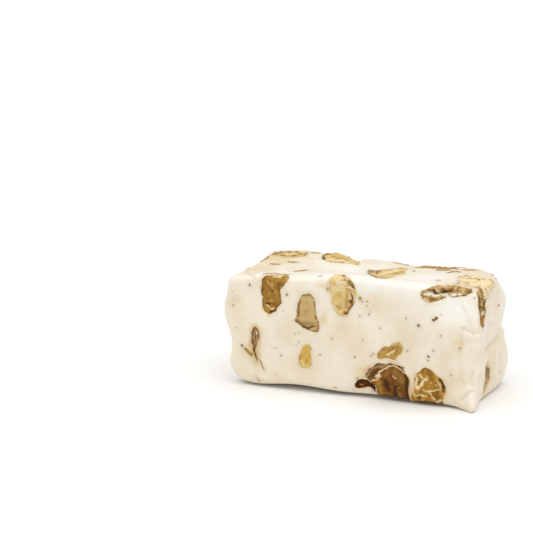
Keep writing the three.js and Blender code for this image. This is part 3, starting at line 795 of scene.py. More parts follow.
def carvePocket(points, normals, kernel):
    # slides the grid onto the kernel's outline, then sinks what lies inside it
    index = np.nonzero(((points > kernel.low - 2) & (points < kernel.high + 2)).all(1))[0]
    uneven = cloud(points[index], bar["overlapPatch"], 60 + kernel.seed)
    field = kernel.worldField(points[index]) + bar["overlap"] * (1 + bar["overlapChange"] * uneven)
    catch = bar["catch"] * bar["cell"]
    close = np.abs(field) < catch
    rim = index[close]
    slope = kernel.slope(points[rim])
    slope -= (slope * normals[rim]).sum(1)[:, None] * normals[rim]
    size = np.maximum((slope ** 2).sum(1), bar["leastSlope"])
    points[rim] -= slope * (field[close] / size)[:, None]
    field[close] = 0
    lifted = index[field > -catch]
    away = np.maximum(field[field > -catch], 0)
    patchy = bar["lipShare"] + bar["lipChange"] * cloud(points[lifted], bar["lipPatch"], 90 + kernel.seed)
    lift = bar["lip"] * patchy * np.exp(-(away / bar["lipWidth"]) ** 2)
    lift = np.where(points[lifted, 2] > bar["lipAbove"], lift, 0)
    points[lifted] += normals[lifted] * lift[:, None]
    sunk = np.clip(-field * bar["wallSlope"], 0, bar["pocketDepth"])
    points[index] -= normals[index] * sunk[:, None]


def cutKernel(kernel, blank):
    # cuts the kernel with the bar and gives it an even fine mesh
    thing = objectFrom(kernel.node + "Cut", kernel.skinMesh())
    cut = thing.modifiers.new("cut", "BOOLEAN")
    cut.operation = "INTERSECT"
    cut.solver = "MANIFOLD"
    cut.object = blank
    even = thing.modifiers.new("even", "REMESH")
    even.mode = "VOXEL"
    even.voxel_size = kernel.look["voxel"] * mm
    graph = bpy.context.evaluated_depsgraph_get()
    mesh = bpy.data.meshes.new_from_object(thing.evaluated_get(graph))
    bpy.data.objects.remove(thing)
    mesh.materials.clear()
    return mesh


def vectorsOf(source, name):
    values = np.empty(len(source) * 3, np.float32)
    source.foreach_get(name, values)
    return values.reshape(-1, 3).astype(float)


# kinds of stroke: where each fades out, in half widths, and how far it stands up or lies deeper. Drawn
# light and cream strokes are paler flesh and cracks and also painted glints; drawn deep and dark strokes
# are darker roast and skin and also painted shade in grooves and cavities
strokeKinds = {
    "cream": (0.5, 1.5, 0.12), "light": (0.1, 1.9, 0.05), "dark": (0.4, 1.5, -0.10),
    "deep": (0.1, 1.9, -0.04), "skin": (0.3, 1.6, 0), "grey": (0.4, 1.5, 0), "ochre": (0.3, 1.6, 0),
}
# the strokes of a plain kernel: how many of each kind, and about how wide
plainStrokes = {"light": (3, 0.5), "deep": (3, 0.45), "cream": (2, 0.2), "skin": (2, 0.3)}


def ownStrokes(kernel):
    # strokes for the kernels that have no drawn ones
    rng = np.random.default_rng(900 + kernel.seed)
    made = {}
    for kind, (count, width) in plainStrokes.items():
        made[kind] = []
        for _ in range(count):
            start = rng.uniform(-0.6, 0.6, 2) * kernel.sizes[:2]
            run = rng.normal(0, 1.1, 2)
            ends = np.array([start, start + run, start + 2 * run + rng.normal(0, 0.6, 2)])
            places = kernel.middle + ends @ kernel.axes[:2]
            made[kind].append((width * rng.uniform(0.7, 1.3), *places[:, kernel.flatAxes].ravel()))
    return made


# relief of the cut face, in millimetres or as shares of the kernel's crumble
faceShape = {
    "edge": (0.04, 0.45),                           # the relief rises this far inside the outline
    "bend": 0.25, "bendSize": 1,                    # how far the borders of the facets wander
    "facet": 0.5, "facetTilt": 0.9, "grain": 0.35, "grainShare": 0.45, "gap": 0.25, "gapWidth": 0.12,
    "cleftWidth": 0.35, "cleftEdge": (0.8, 1.8),
    "strokeWander": 0.22, "wanderSize": 0.8, "strokeFray": 0.3, "fraySize": 0.7,
    "patchSize": 3.4, "patchSoft": 0.15, "patchDrawn": 0.45,    # skin is left round the face in patches
    "rimWidth": 0.12, "rimSpread": 0.42, "rimUneven": (0.6, 0.5), "rimFade": (0.4, 1.7), "rim": 0.85,
    "ridgePlace": 0.12, "ridgeWidth": 0.14, "ridgeUneven": (0.6, 0.6), "ridgeSize": 0.9,
    "facetTone": 0.3, "toneEdge": 0.35,
}


def roughenKernel(kernel, mesh):
    # facets, crumbs, cleft and skin ridge on the cut face, and what the finish needs to know
    look, shape, seed = kernel.look, faceShape, kernel.seed
    points, normals = vectorsOf(mesh.vertices, "co") / mm, vectorsOf(mesh.vertex_normals, "vector")
    own = kernel.toOwn(points)
    inward = np.maximum(-kernel.worldField(points), 0)
    face = smoothStep(*shape["edge"], inward)
    bent = own + shape["bend"] * cloud(own, shape["bendSize"], seed)[:, None]
    room, number, tilt = grains(bent, look["crumbSize"], 500 + seed)
    fine = layered(own, look["crumbSize"] * shape["grainShare"], 600 + seed)
    relief = shape["facet"] * number + shape["facetTilt"] * tilt + shape["grain"] * fine
    height = look["proud"] + look["crumble"] * relief
    height -= shape["gap"] * look["crumble"] * (1 - smoothStep(0, shape["gapWidth"], room))
    cleft = np.exp(-(own[:, 0] / shape["cleftWidth"]) ** 2) * smoothStep(*shape["cleftEdge"], inward)
    height -= look["cleft"] * cleft
    wander = shape["strokeWander"] * drift(points, shape["wanderSize"], 700, 701)
    flat = points[:, kernel.flatAxes] + wander
    frayed = shape["strokeFray"] * cloud(points, shape["fraySize"], 702)
    drawn = look["strokes"] or ownStrokes(kernel)
    marks = {}
    for kind, (low, high, raised) in strokeKinds.items():
        marks[kind] = np.zeros(len(points))
        for width, *line in drawn.get(kind, ()):
            distance, _ = lineDistance(flat, pairs(line))
            marks[kind] = np.maximum(marks[kind], 1 - smoothStep(low, high, distance / width + frayed))
        height += raised * marks[kind]
    # patches of skin along the outline: fewer where they are drawn as strokes too
    around = cloud(points, shape["patchSize"], 800 + seed) * 0.5 + 0.5
    share = look["rim"] * (shape["patchDrawn"] if look["strokes"] else 1)
    kept = smoothStep(-shape["patchSoft"], shape["patchSoft"], share - around)
    least, change = shape["rimUneven"]
    width = shape["rimSpread"] * kept * (least + change * cloud(points, 1, 820 + seed)) + shape["rimWidth"]
    near, far = shape["rimFade"]
    rim = shape["rim"] * kept * (1 - smoothStep(width * near, width * far, inward))
    least, change = shape["ridgeUneven"]
    ridge = np.exp(-((inward - shape["ridgePlace"]) / shape["ridgeWidth"]) ** 2)
    ridge *= look["ridge"] * (least + change * cloud(own, shape["ridgeSize"], 5))
    lift = face * height + np.where(inward > 0.02, ridge, 0)
    lift = np.where(points[:, 2] < 0.6, np.minimum(lift, 0), lift)
    points += normals * lift[:, None]
    points[:, 2] = np.maximum(points[:, 2], 0)
    mesh.vertices.foreach_set("co", ((points + originShift) * mm).astype(np.float32).ravel())
    floatLayer(mesh, "skin", np.maximum(marks["skin"], rim))
    facetTone = shape["facetTone"] * number * smoothStep(0, shape["toneEdge"], room)
    # tone: light strokes with their painted glints, less deep strokes with their painted shade, and each
    # facet's own tone
    floatLayer(mesh, "tone", marks["light"] - marks["deep"] + facetTone)
    floatLayer(mesh, "gap", room)
    for kind in ("dark", "cream", "grey", "ochre"):
        floatLayer(mesh, kind, marks[kind])


def makeKernels(blank):
    made = {}
    for seed, (node, own) in enumerate(kernels.items()):
        kernel = Kernel(node, seed, own)
        mesh = cutKernel(kernel, blank)
        roughenKernel(kernel, mesh)
        piece = objectFrom(node.replace("almond_", "kernel_"), smoothed(mesh))
        made[node] = (kernel, piece)
    return made


blank = objectFrom("blank", meshFrom("blank", barPoints, barSquares.tolist()))
kernelPieces = makeKernels(blank)
bpy.data.objects.remove(blank)
print("kernels cut,", sum(len(piece.data.polygons) for _, piece in kernelPieces.values()), "squares")


# Crumbs, specks and strips of almond skin in the surface of the nougat

crumbShape = {"share": 0.9, "flat": 0.55, "stretch": 1.35, "raised": 0.12, "lumpiness": 0.35}
tones = {"dark": 0, "tan": 0.5, "grey": 1}
# how many small specks of their own each side gets
scattered = {"front": 11, "back": 52, "left": 20, "right": 12, "top": 26, "bottom": 36}
# their half sizes, how far they keep from the edges, and the share that lies in patches
scatter = {
    "size": (0.06, 0.26), "margin": 1.5, "patchShare": 0.4, "patchReach": 2.6,
    "tones": ("dark", "tan", "grey", "grey"),
}
# the larger ones on each side: tone, half size and spot
specks = {
    "front": (("dark", 0.45, -33.9, 33.3), ("tan", 0.5, -21, 31.5), ("tan", 0.2, -39.8, 30.9),
        ("tan", 0.35, -39.6, 26.3), ("dark", 0.25, -16.9, 19.5), ("tan", 0.25, -18.2, 18.9),
        ("dark", 0.22, -17, 16.4), ("grey", 0.2, -22.2, 26.1), ("tan", 0.5, -7.4, 34.2),
        ("tan", 0.6, 3, 32.1), ("tan", 0.35, 3.7, 31.2), ("tan", 0.3, 5.3, 31.3), ("tan", 0.25, 5.2, 29.9),
        ("tan", 0.3, 6, 27.3), ("grey", 0.2, 6.5, 28.1), ("grey", 0.3, 10, 23.3), ("grey", 0.3, -6.1, 18.4),
        ("grey", 0.25, 3, 26.6), ("tan", 0.3, 18.3, 27.4), ("dark", 0.55, 22.4, 25.5),
        ("dark", 0.5, 27.1, 27.6), ("dark", 0.42, 27.9, 28.4), ("grey", 0.2, 29.3, 29.5),
        ("tan", 0.3, 29.3, 22.8), ("dark", 0.45, 25.4, 15.8), ("dark", 0.28, 25.4, 14.5),
        ("tan", 0.35, 35.5, 19.4), ("grey", 0.3, 27, 17.7), ("grey", 0.35, 18.7, 17),
        ("tan", 0.25, 39.4, 35.3), ("dark", 0.3, -9.8, 13), ("tan", 0.35, -23.2, 11.3),
        ("tan", 0.2, -24.9, 4.9), ("grey", 0.2, -38.6, 19.2), ("grey", 0.15, -26.2, 14),
        ("dark", 0.3, 1.8, 13.4), ("grey", 0.4, 7.9, 15), ("grey", 0.3, 7.2, 14.3),
        ("dark", 0.35, 17.5, 11.5), ("tan", 0.4, 2.6, 6.6), ("grey", 0.2, 4.4, 19.1),
        ("dark", 0.25, 32.9, 10.7), ("dark", 0.45, -36.2, 13.5)),
    "top": (("dark", 0.62, 13.4, 5), ("tan", 0.3, 29.7, -14), ("dark", 0.25, 31.9, 1.1),
        ("dark", 0.25, 34.6, -0.2), ("tan", 0.2, -19.5, 1.2)),
    "right": (("dark", 0.3, 0.1, 35.8), ("tan", 0.25, 2.8, 34.5), ("dark", 0.22, 0.2, 24),
        ("dark", 0.22, -10.1, 18.4), ("grey", 0.3, 4.9, 6.7), ("grey", 0.2, 1.1, 6.2)),
    "back": (("dark", 0.5, 18.2, 28.6), ("tan", 0.55, -14.6, 8.2), ("dark", 0.4, -28.4, 10.4),
        ("tan", 0.45, 36, 14.2), ("grey", 0.4, 3.6, 30.8), ("dark", 0.35, -12, 33.2)),
    "left": (("dark", 0.45, 4.8, 24.6), ("tan", 0.5, -8.6, 12.2), ("tan", 0.4, 10.2, 31)),
    "bottom": (("dark", 0.5, 2.4, -5), ("tan", 0.55, -33, -6), ("tan", 0.4, 10, 8)),
}
# strips of skin on each side, most of them dragged flat by the knife: tone, half width and points
strips = {
    "front": (("tan", 1.05, -35.5, 12.7, -34.2, 11.6, -32.9, 10.5),
        ("dark", 0.3, -32.1, 12.8, -31.9, 10.8, -31.3, 8.6),
        ("grey", 0.24, -30.3, 9.3, -29.5, 7.2, -28.6, 5.8), ("dark", 0.2, -31, 2.6, -30.4, 1.9),
        ("dark", 0.34, 26.7, 27.2, 28.3, 28.8), ("tan", 0.22, -11, 1.2, -6, 1, -1.5, 0.9)),
    "top": (("tan", 0.7, -22, -9.2, -20.3, -7.9, -18.6, -6.7), ("tan", 0.4, -30, -16.1, -29.9, -13.6,
        -27.9, -13.1, -26, -13.5, -23.7, -13.7, -22, -14.4, -21.7, -13),
        ("tan", 0.5, -34, 0.2, -31.7, -0.6, -29.7, -1), ("grey", 0.5, -28.2, 1.2, -25.9, 1.1, -24.3, 0.9),
        ("grey", 0.9, -37.1, 10.4, -36.1, 11.8, -34.5, 12.8, -31.8, 13.7),
        ("tan", 0.6, -38.4, 3.1, -38, 5.6, -37.8, 8.6), ("tan", 0.4, -25.2, 13.6, -23.3, 14.5, -21.9, 15.6),
        ("grey", 0.45, -25.5, 8.9, -25.5, 10.8, -25.7, 12.5), ("dark", 0.35, -7.4, 8.8, -6.8, 9.5),
        ("tan", 0.35, -10.9, -17, -9.7, -17.1),
        ("grey", 0.65, 11.8, 11.7, 14.5, 14.4, 17.6, 13.9, 20.6, 12.7, 23.3, 12.4),
        ("tan", 0.5, 22, 15.2, 24, 13.9, 26.2, 12.4),
        ("tan", 0.4, 18.8, 11.2, 20.8, 10, 22.4, 11, 24.4, 10.8),
        ("grey", 0.6, 23.8, 6.9, 25.4, 8.9, 28, 8.7), ("tan", 0.5, 27.3, 12.2, 29.6, 12.5, 32.5, 13.6),
        ("tan", 0.45, 3.1, 15.2, 5.1, 16, 8.6, 15.1), ("dark", 0.3, 28.7, 2.7, 29.8, 2.9),
        ("dark", 0.45, 30.1, 4.8, 31.3, 4.8), ("grey", 0.5, 24.1, -7.2, 25.6, -6.7),
        ("dark", 0.4, 35.5, 15.7, 36.9, 15),
        ("grey", 0.22, 0.8, -3.8, -0.7, 0.5, -0.7, 2.4, 1.7, 1, 3, 0.8),
        ("grey", 0.2, 1, -4.4, 5.3, -13.1, 8, -15.2)),
    "right": (("dark", 0.25, -7.1, 36, -5.3, 35.6), ("dark", 0.3, 12.6, 35.4, 13, 34.6),
        ("tan", 0.25, 7.6, 27.6, 9.7, 27.3)),
    "back": (("tan", 0.5, -25, 33.6, -23.4, 34.2, -21.6, 33.8),
        ("grey", 0.6, 14.8, 33.2, 16.4, 33.9, 18.6, 33.3), ("tan", 0.4, 8.6, 11.2, 9.4, 10.2, 9.4, 9.2)),
    "left": (("tan", 0.45, -13.4, 21.4, -12, 20.4, -10.8, 20.6),
        ("grey", 0.5, 3, 33.2, 5, 33.8, 6.8, 33.4)),
    "bottom": (("tan", 0.5, -6, -8.8, -3.6, -8.2, -1.6, -9),),
}


def ownSpecks():
    # small specks, each side its own number of them, more of them in some patches
    rng = np.random.default_rng(77)
    made = {side: list(specks[side]) for side in sides}
    look, (least, most) = scatter, scatter["size"]
    for side, count in scattered.items():
        high = np.array([(endX, backY, topZ)[axis] for axis in sides[side][2]]) - look["margin"]
        low = (-high[0], look["margin"] if sides[side][2][1] == 2 else -high[1])
        for _ in range(count):
            spot = rng.uniform(low, high)
            near = made[side][rng.integers(len(specks[side]))][2:]
            spot = np.where(rng.uniform() < look["patchShare"],
                            near + rng.normal(0, look["patchReach"], 2), spot)
            size = least + (most - least) * rng.uniform() ** 3
            made[side].append((look["tones"][rng.integers(4)], size, *spot))
    return made


allSpecks = ownSpecks()


# where oil has gone through thin nougat, and where shade is painted, on each side: middle, reach across and
# up, strength. The painted shade lies beside the sliver and the dark kernel, down the crease under the
# sliver, beside the ledge near the right end, low on the right end and, with the oil, across the left end
# of the top;
# the front is also darker towards its bottom left
stainsAndShade = {
    "top": ((-31, 6, 9, 8, 0.95), (-35, -6, 5.5, 8, 0.7), (34, -8, 5, 8, 0.65), (31, 9, 7, 5, 0.35),
        (16, 13, 9, 2.5, 0.45)),
    "front": ((-39, 27, 2.6, 5, 0.45), (-1.5, 21.5, 7, 3.5, 0.2), (9, 30.5, 4.5, 3, 0.35),
        (-8, 35, 2.2, 2.2, 0.45), (-8.6, 24.6, 1.2, 1.8, 0.6), (35, 21, 1.8, 5, 0.5),
        (35.5, 10, 2.6, 3.6, 0.35), (-29.5, 5.5, 2.4, 5, 0.25), (14, 20.8, 6, 1.6, 0.2),
        (-34, 14, 8, 11, 0.28), (-31.2, 4.5, 1.5, 5.5, 0.6), (-31.6, 14, 2.6, 7.5, 0.9),
        (20.3, 3.6, 1.2, 5.5, 1), (6, 8.5, 3.6, 4.6, 0.7), (13.5, 14, 5.5, 2, 0.4), (31.5, 6, 6.5, 6, 0.3),
        (-22, 3, 16, 5, 0.26), (-24, 33, 14, 6, 0.12)),
    "right": ((-10, 31, 6, 4, 0.4), (-3, 9, 4.5, 8, 0.42)),
    "back": ((20, 20, 9, 6, 0.3), (-26, 20, 6, 8, 0.3)),
    "left": ((0, 20, 9, 5, 0.35),),
}
# painted highlight, in the same way: where the nougat is coloured whiter along the rounded top of the front
# and on the lit top
paintedHighlight = {
    "front": ((10, 37.5, 28, 4, 0.9), (34, 31, 8.5, 6.5, 1)),
    "top": ((6, -17, 34, 6, 0.9), (-3, 0, 14, 9, 0.7), (20, -6, 9, 7, 0.7)),
}


# patches on each side from a table: oil stains with painted shade, and the painted highlight
def sidePatches(points, normals, table):
    total = np.zeros(len(points))
    wander = 1.1 * drift(points, 3, 98, 99)
    for side, rows in table.items():
        for x, y, reachX, reachY, strength in rows:
            away = (points[:, sides[side][2]] + wander - (x, y)) / (reachX, reachY)
            spread = strength * np.exp(-(away ** 2).sum(1))
            total = np.maximum(total, facing(side, normals, 0.1, 0.6) * spread)
    return total


# the oily ring: how far it reaches past a speck or a strip, and its strength
haloShape = {"speckReach": 0.3, "speckLeast": 0.1, "perSize": 1.1, "stripReach": 0.35, "strip": 0.4}


def haloed(points, normals):
    # oil has soaked into the nougat round each speck and strip
    total = np.zeros(len(points))
    look = haloShape
    for side in sides:
        own = np.nonzero(normals @ np.array(sides[side][0], float) > 0.4)[0]
        flat = points[own][:, sides[side][2]]
        for _, size, *spot in allSpecks[side]:
            grown = look["perSize"] * size
            away = np.linalg.norm(flat - spot, axis=1) / (grown + look["speckReach"])
            strength = min(1, look["speckLeast"] + grown)
            total[own] = np.maximum(total[own], strength * np.exp(-away ** 2))
        for _, width, *line in strips[side]:
            away = lineDistance(flat, pairs(line))[0] / (width + look["stripReach"])
            total[own] = np.maximum(total[own], look["strip"] * np.exp(-away ** 2))
    return total


def makeBar():
    points = barPoints.copy()
    nearest = np.full(len(points), 9.0)
    for kernel, _ in kernelPieces.values():
        near = ((points > kernel.low - 5) & (points < kernel.high + 5)).all(1)
        field = kernel.worldField(points[near])
        nearest[near] = np.minimum(nearest[near], field)
    for kernel, _ in kernelPieces.values():
        carvePocket(points, barNormals, kernel)
    points[:, 2] = np.where(barPoints[:, 2] <= 0, np.maximum(points[:, 2], 0), points[:, 2])
    mesh = meshFrom("nougatBar", points + originShift, barSquares.tolist())
    sheet = mesh.uv_layers.new(name="OFBake")
    sheet.data.foreach_set("uv", barLayout.astype(np.float32).ravel())
    floatLayer(mesh, "nearKernel", nearest)
    floatLayer(mesh, "halo", haloed(barPoints, barNormals))
    # painted shade: the hollows of the relief are coloured creamier than its bumps
    floatLayer(mesh, "hollowShade", -barRelief)
    # oil stains and painted shade
    floatLayer(mesh, "stainAndShade", sidePatches(barPoints, barNormals, stainsAndShade))
    # painted highlight along the front's top edge and on the top
    floatLayer(mesh, "paintedHighlight", sidePatches(barPoints, barNormals, paintedHighlight))
    return objectFrom("nougatBar", smoothed(mesh))


nougatBar = makeBar()
print("pockets carved")


def surfaceTrees():
    graph = bpy.context.evaluated_depsgraph_get()
    things = [nougatBar] + [piece for _, piece in kernelPieces.values()]
    return [BVHTree.FromObject(thing, graph) for thing in things]


def layOn(side, spot):
    # the place of the finished surface that lies under a spot of a side, and its normal
    start = Vector((placeOn(side, [spot], -8)[0] + originShift) * mm)
    inward = -Vector(sides[side][0])
    hits = [hit for hit in (tree.ray_cast(start, inward, 12 * mm) for tree in trees) if hit[0]]
    place, normal, _, _ = min(hits, key=lambda hit: hit[3]) if hits else trees[0].find_nearest(start)
    return np.array(place) / mm, np.array(normal)


def roundLump():
    ball = bmesh.new()
    bmesh.ops.create_icosphere(ball, subdivisions=2, radius=1)
    points = np.array([list(corner.co) for corner in ball.verts])
    faces = [[corner.index for corner in face.verts] for face in ball.faces]
    ball.free()
    return points, faces


def joined(name, parts):
    # one mesh from many: points, faces and tone of each
    faces, toneValues = [], []
    for own, ownFaces, tone in parts:
        faces += [[corner + len(toneValues) for corner in face] for face in ownFaces]
        toneValues += [tone] * len(own)
    points = np.concatenate([own for own, _, _ in parts])
    points[:, 2] = np.maximum(points[:, 2], 0)
    mesh = meshFrom(name, points, faces)
    floatLayer(mesh, "tone", toneValues)
    return objectFrom(name, smoothed(mesh))


def makeCrumbs():
    rng = np.random.default_rng(78)
    ball, faces = roundLump()
    look = crumbShape
    parts = []
    for side, spots in allSpecks.items():
        for index, (tone, size, *spot) in enumerate(spots):
            place, normal = layOn(side, spot)
            across = np.cross(normal, rng.normal(size=3))
            across /= np.linalg.norm(across)
            size *= look["share"]
            stretch = rng.uniform(1, look["stretch"])
            shape = ball * (1 + look["lumpiness"] * cloud(ball + index, 0.9, 79))[:, None]
            shape = shape * (size * stretch, size / stretch, size * look["flat"])
            shape = shape @ np.array([across, np.cross(normal, across), normal])
            shape = place + shape - normal * size * (look["flat"] - look["raised"]) * 0.5
            parts.append((shape, faces, tones[tone] + rng.uniform(-0.15, 0.15)))
    return joined("skinCrumbs", parts)


def softLine(line, step=0.3):
    # rounds the corners of a line and sets points on it at even steps
    for _ in range(3):
        line = np.concatenate([line[:1], cutCorners(line[:-1], line[1:]), line[-1:]])
    run = np.concatenate([[0], np.cumsum(np.linalg.norm(np.diff(line, axis=0), axis=1))])
    places = np.linspace(0, run[-1], max(4, int(run[-1] / step)))
    return np.stack([np.interp(places, run, line[:, axis]) for axis in range(2)], 1)


# a strip: corners of its section, how it wanders, its width along its run, and its height
stripShape = {
    "corners": 6, "wander": 0.25, "wanderSize": 1.2, "blunt": 0.98,
    "width": 0.85, "widthChange": 0.55, "changeSize": 0.8, "highest": 0.3, "high": 0.5, "raised": 0.1,
}


def makeStrips():
    look, corners = stripShape, stripShape["corners"]
    around = np.arange(corners) * 2 * math.pi / corners
    parts = []
    for side, tone, width, *numbers in ((side, *row) for side in strips for row in strips[side]):
        line = softLine(pairs(numbers))
        numbered = np.append(line, np.full((len(line), 1), len(parts)), 1)
        line += look["wander"] * drift(numbered, look["wanderSize"], 95, 96)
        places, normals = (np.array(values) for values in zip(*(layOn(side, spot) for spot in line)))
        run = np.gradient(places, axis=0)
        across = np.cross(normals, run)
        across /= np.linalg.norm(across, axis=1, keepdims=True)
        share = np.linspace(0, 1, len(line))
        own = width * np.sqrt(1 - np.abs(2 * look["blunt"] * share - look["blunt"]) ** 4)
        own = own * (look["width"] + look["widthChange"] * cloud(places, look["changeSize"], 97))
        wide = own[:, None] * np.cos(around)
        high = np.minimum(own, look["highest"])[:, None] * (look["high"] * np.sin(around) + look["raised"])
        rings = places[:, None] + across[:, None] * wide[..., None] + normals[:, None] * high[..., None]
        last = corners * (len(line) - 1)
        faces = []
        for ring in range(0, last, corners):
            for a in range(corners):
                b = (a + 1) % corners
                faces.append([ring + a, ring + b, ring + corners + b, ring + corners + a])
        faces += [list(range(corners))[::-1], list(range(last, last + corners))]
        parts.append((rings.reshape(-1, 3), faces, tones[tone]))
    return joined("skinStrips", parts)


trees = surfaceTrees()
crumbPiece = makeCrumbs()
stripPiece = makeStrips()
print("crumbs and strips laid,", len(crumbPiece.data.polygons) + len(stripPiece.data.polygons), "faces")


# Finishes

class Wire:
    # one output of a node, so that sums on it add the nodes that work them out
    def __init__(self, finish, socket):
        self.finish, self.socket = finish, socket

    def __add__(self, other):
        return self.finish.maths("ADD", self, other)

    def __radd__(self, other):
        return self.finish.maths("ADD", other, self)

    def __sub__(self, other):
        return self.finish.maths("SUBTRACT", self, other)

    def __rsub__(self, other):
        return self.finish.maths("SUBTRACT", other, self)

    def __mul__(self, other):
        return self.finish.maths("MULTIPLY", self, other)

    def __rmul__(self, other):
        return self.finish.maths("MULTIPLY", other, self)


def tint(colour):
    # the linear light of a colour that is given as on a paint chart, from 0 to 255
    if isinstance(colour, Wire):
        return colour
    shares = np.array(colour) / 255
    light = np.where(shares <= 0.04045, shares / 12.92, ((shares + 0.055) / 1.055) ** 2.4)
    return (*light, 1)


class Finish:
    def __init__(self, name):
        self.material = bpy.data.materials.new(name)
        self.material.use_nodes = True
        self.tree = self.material.node_tree
        self.tree.nodes.clear()
        self.output = self.tree.nodes.new("ShaderNodeOutputMaterial")

    def add(self, kind, settings=None, sockets=None, out=0):
        node = self.tree.nodes.new(kind)
        for name, value in (settings or {}).items():
            setattr(node, name, value)
        for name, value in (sockets or {}).items():
            if isinstance(value, Wire):
                self.tree.links.new(value.socket, node.inputs[name])
            else:
                node.inputs[name].default_value = value
        return Wire(self, node.outputs[out])

    def maths(self, operation, *values):
        return self.add("ShaderNodeMath", {"operation": operation}, dict(enumerate(values)))

    def band(self, value, low, high):
        # 0 below low, 1 above high, and smooth between them
        return self.add("ShaderNodeMapRange", {"interpolation_type": "SMOOTHSTEP"},
                        {"Value": value, "From Min": low, "From Max": high})

    def mix(self, share, first, second):
        # sockets 6 and 7 of a colour Mix are its two colours, and output 2 is the result
        return self.add("ShaderNodeMix", {"data_type": "RGBA"},
                        {0: share, 6: tint(first), 7: tint(second)}, out=2)

    def layer(self, name):
        return self.add("ShaderNodeAttribute", {"attribute_name": name}, out="Fac")

    def noise(self, scale, detail=2, stretch=(1, 1, 1), shift=0):
        # scale counts lumps in each millimetre
        place = self.add("ShaderNodeMapping", {}, {
            "Vector": self.add("ShaderNodeTexCoord", out="Object"), "Location": (shift,) * 3,
            "Scale": tuple(scale * share / mm for share in stretch)})
        return self.add("ShaderNodeTexNoise", {}, {"Vector": place, "Scale": 1, "Detail": detail})

    def bump(self, height, distance, strength, under=None):
        sockets = {"Height": height, "Distance": distance * mm, "Strength": strength}
        if under:
            sockets["Normal"] = under
        return self.add("ShaderNodeBump", {}, sockets)

    def surface(self, sockets):
        shader = self.add("ShaderNodeBsdfPrincipled", {}, sockets)
        self.tree.links.new(shader.socket, self.output.inputs["Surface"])
        return self.material


nougatLook = {
    # the first colour is the painted highlight's
    "paintedHighlight": (252, 248, 239), "white": (241, 232, 214), "cream": (233, 219, 195),
    "honey": (225, 201, 152), "smudge": (200, 180, 152), "rim": (204, 174, 128), "oil": (182, 150, 94),
    "oilReach": 1.3, "oilShare": 0.6,                   # honey colour next to a kernel
    "rimReach": (-0.45, 0.35), "rimShare": (0.20, 0.45),    # the brown edge: everywhere, and in patches
    "soakAndShadeShare": 0.8, "haloShare": 0.65, "smudgeShare": 0.12, "dragShare": 0.35,
    "roughness": 0.42, "roughnessChange": 0.16,
    "scatter": 0.30, "scatterReach": 1.3, "scatterColour": (1, 0.88, 0.70),
}


def nougatFinish():
    look = nougatLook
    finish = Finish("whippedNougat")
    # random cream patches, with painted shade making the relief's hollows creamier
    broad = finish.noise(0.09, 4) + 0.10 * finish.layer("hollowShade")
    colour = finish.mix(finish.band(broad, 0.38, 0.70), look["white"], look["cream"])
    # painted highlight: whiter along the front's top edge and on the top, where the light falls
    colour = finish.mix(finish.layer("paintedHighlight"), colour, look["paintedHighlight"])
    streaks = finish.band(finish.noise(0.55, 4, stretch=(0.25, 1.2, 0.6), shift=9.1), 0.3, 0.75)
    # honey oil stains, together with painted shade in creases, beside kernels, low on the right end and on
    # the left end of the top, and a front darker towards its bottom left
    stainAndShade = finish.layer("stainAndShade")
    colour = finish.mix(stainAndShade * (0.45 + 1.1 * streaks), colour, look["honey"])
    # almond oil stains the nougat next to a kernel
    near = finish.layer("nearKernel")
    patches = finish.band(finish.noise(0.5, 4), 0.42, 0.66)
    oily = (1 - finish.band(near, 0, look["oilReach"])) * patches * look["oilShare"]
    colour = finish.mix(oily, colour, look["honey"])
    everywhere, patched = look["rimShare"]
    edge = (1 - finish.band(near, *look["rimReach"])) * (everywhere + patched * patches)
    colour = finish.mix(edge, colour, look["rim"])
    # rim colour next to kernels where the stain rows lie: oil soaked in, and the painted shade beside the
    # sliver and the dark kernel
    soakAndShade = stainAndShade * (1 - finish.band(near, 0.1, 1.5)) * look["soakAndShadeShare"]
    colour = finish.mix(soakAndShade, colour, look["rim"])
    colour = finish.mix(finish.layer("halo") * look["haloShare"], colour, look["oil"])
    faint = finish.band(finish.noise(0.24, 4, shift=3.1), 0.62, 0.80) * look["smudgeShare"]
    colour = finish.mix(faint, colour, look["smudge"])
    # the knife dragged crumbs and oil along the top
    normal = finish.add("ShaderNodeNewGeometry", out="Normal")
    upward = finish.add("ShaderNodeSeparateXYZ", {}, {0: normal}, out=2)
    dragged = finish.band(finish.noise(0.5, 3, stretch=(0.12, 1.6, 0.4), shift=1.7), 0.60, 0.74)
    drag = finish.band(upward, 0.6, 0.9) * dragged * look["dragShare"]
    colour = finish.mix(drag, colour, look["honey"])
    dull = finish.noise(0.35, 3, shift=8)
    dimples = finish.bump(finish.noise(0.45, 3, shift=2), 0.22, 0.5)
    return finish.surface({
        "Base Color": colour, "Roughness": look["roughness"] + look["roughnessChange"] * (dull - 0.5),
        "Normal": finish.bump(finish.noise(1.6, 4, shift=5), 0.05, 0.5, under=dimples), "IOR": 1.45,
        "Subsurface Weight": look["scatter"], "Subsurface Radius": look["scatterColour"],
        "Subsurface Scale": look["scatterReach"] * mm})


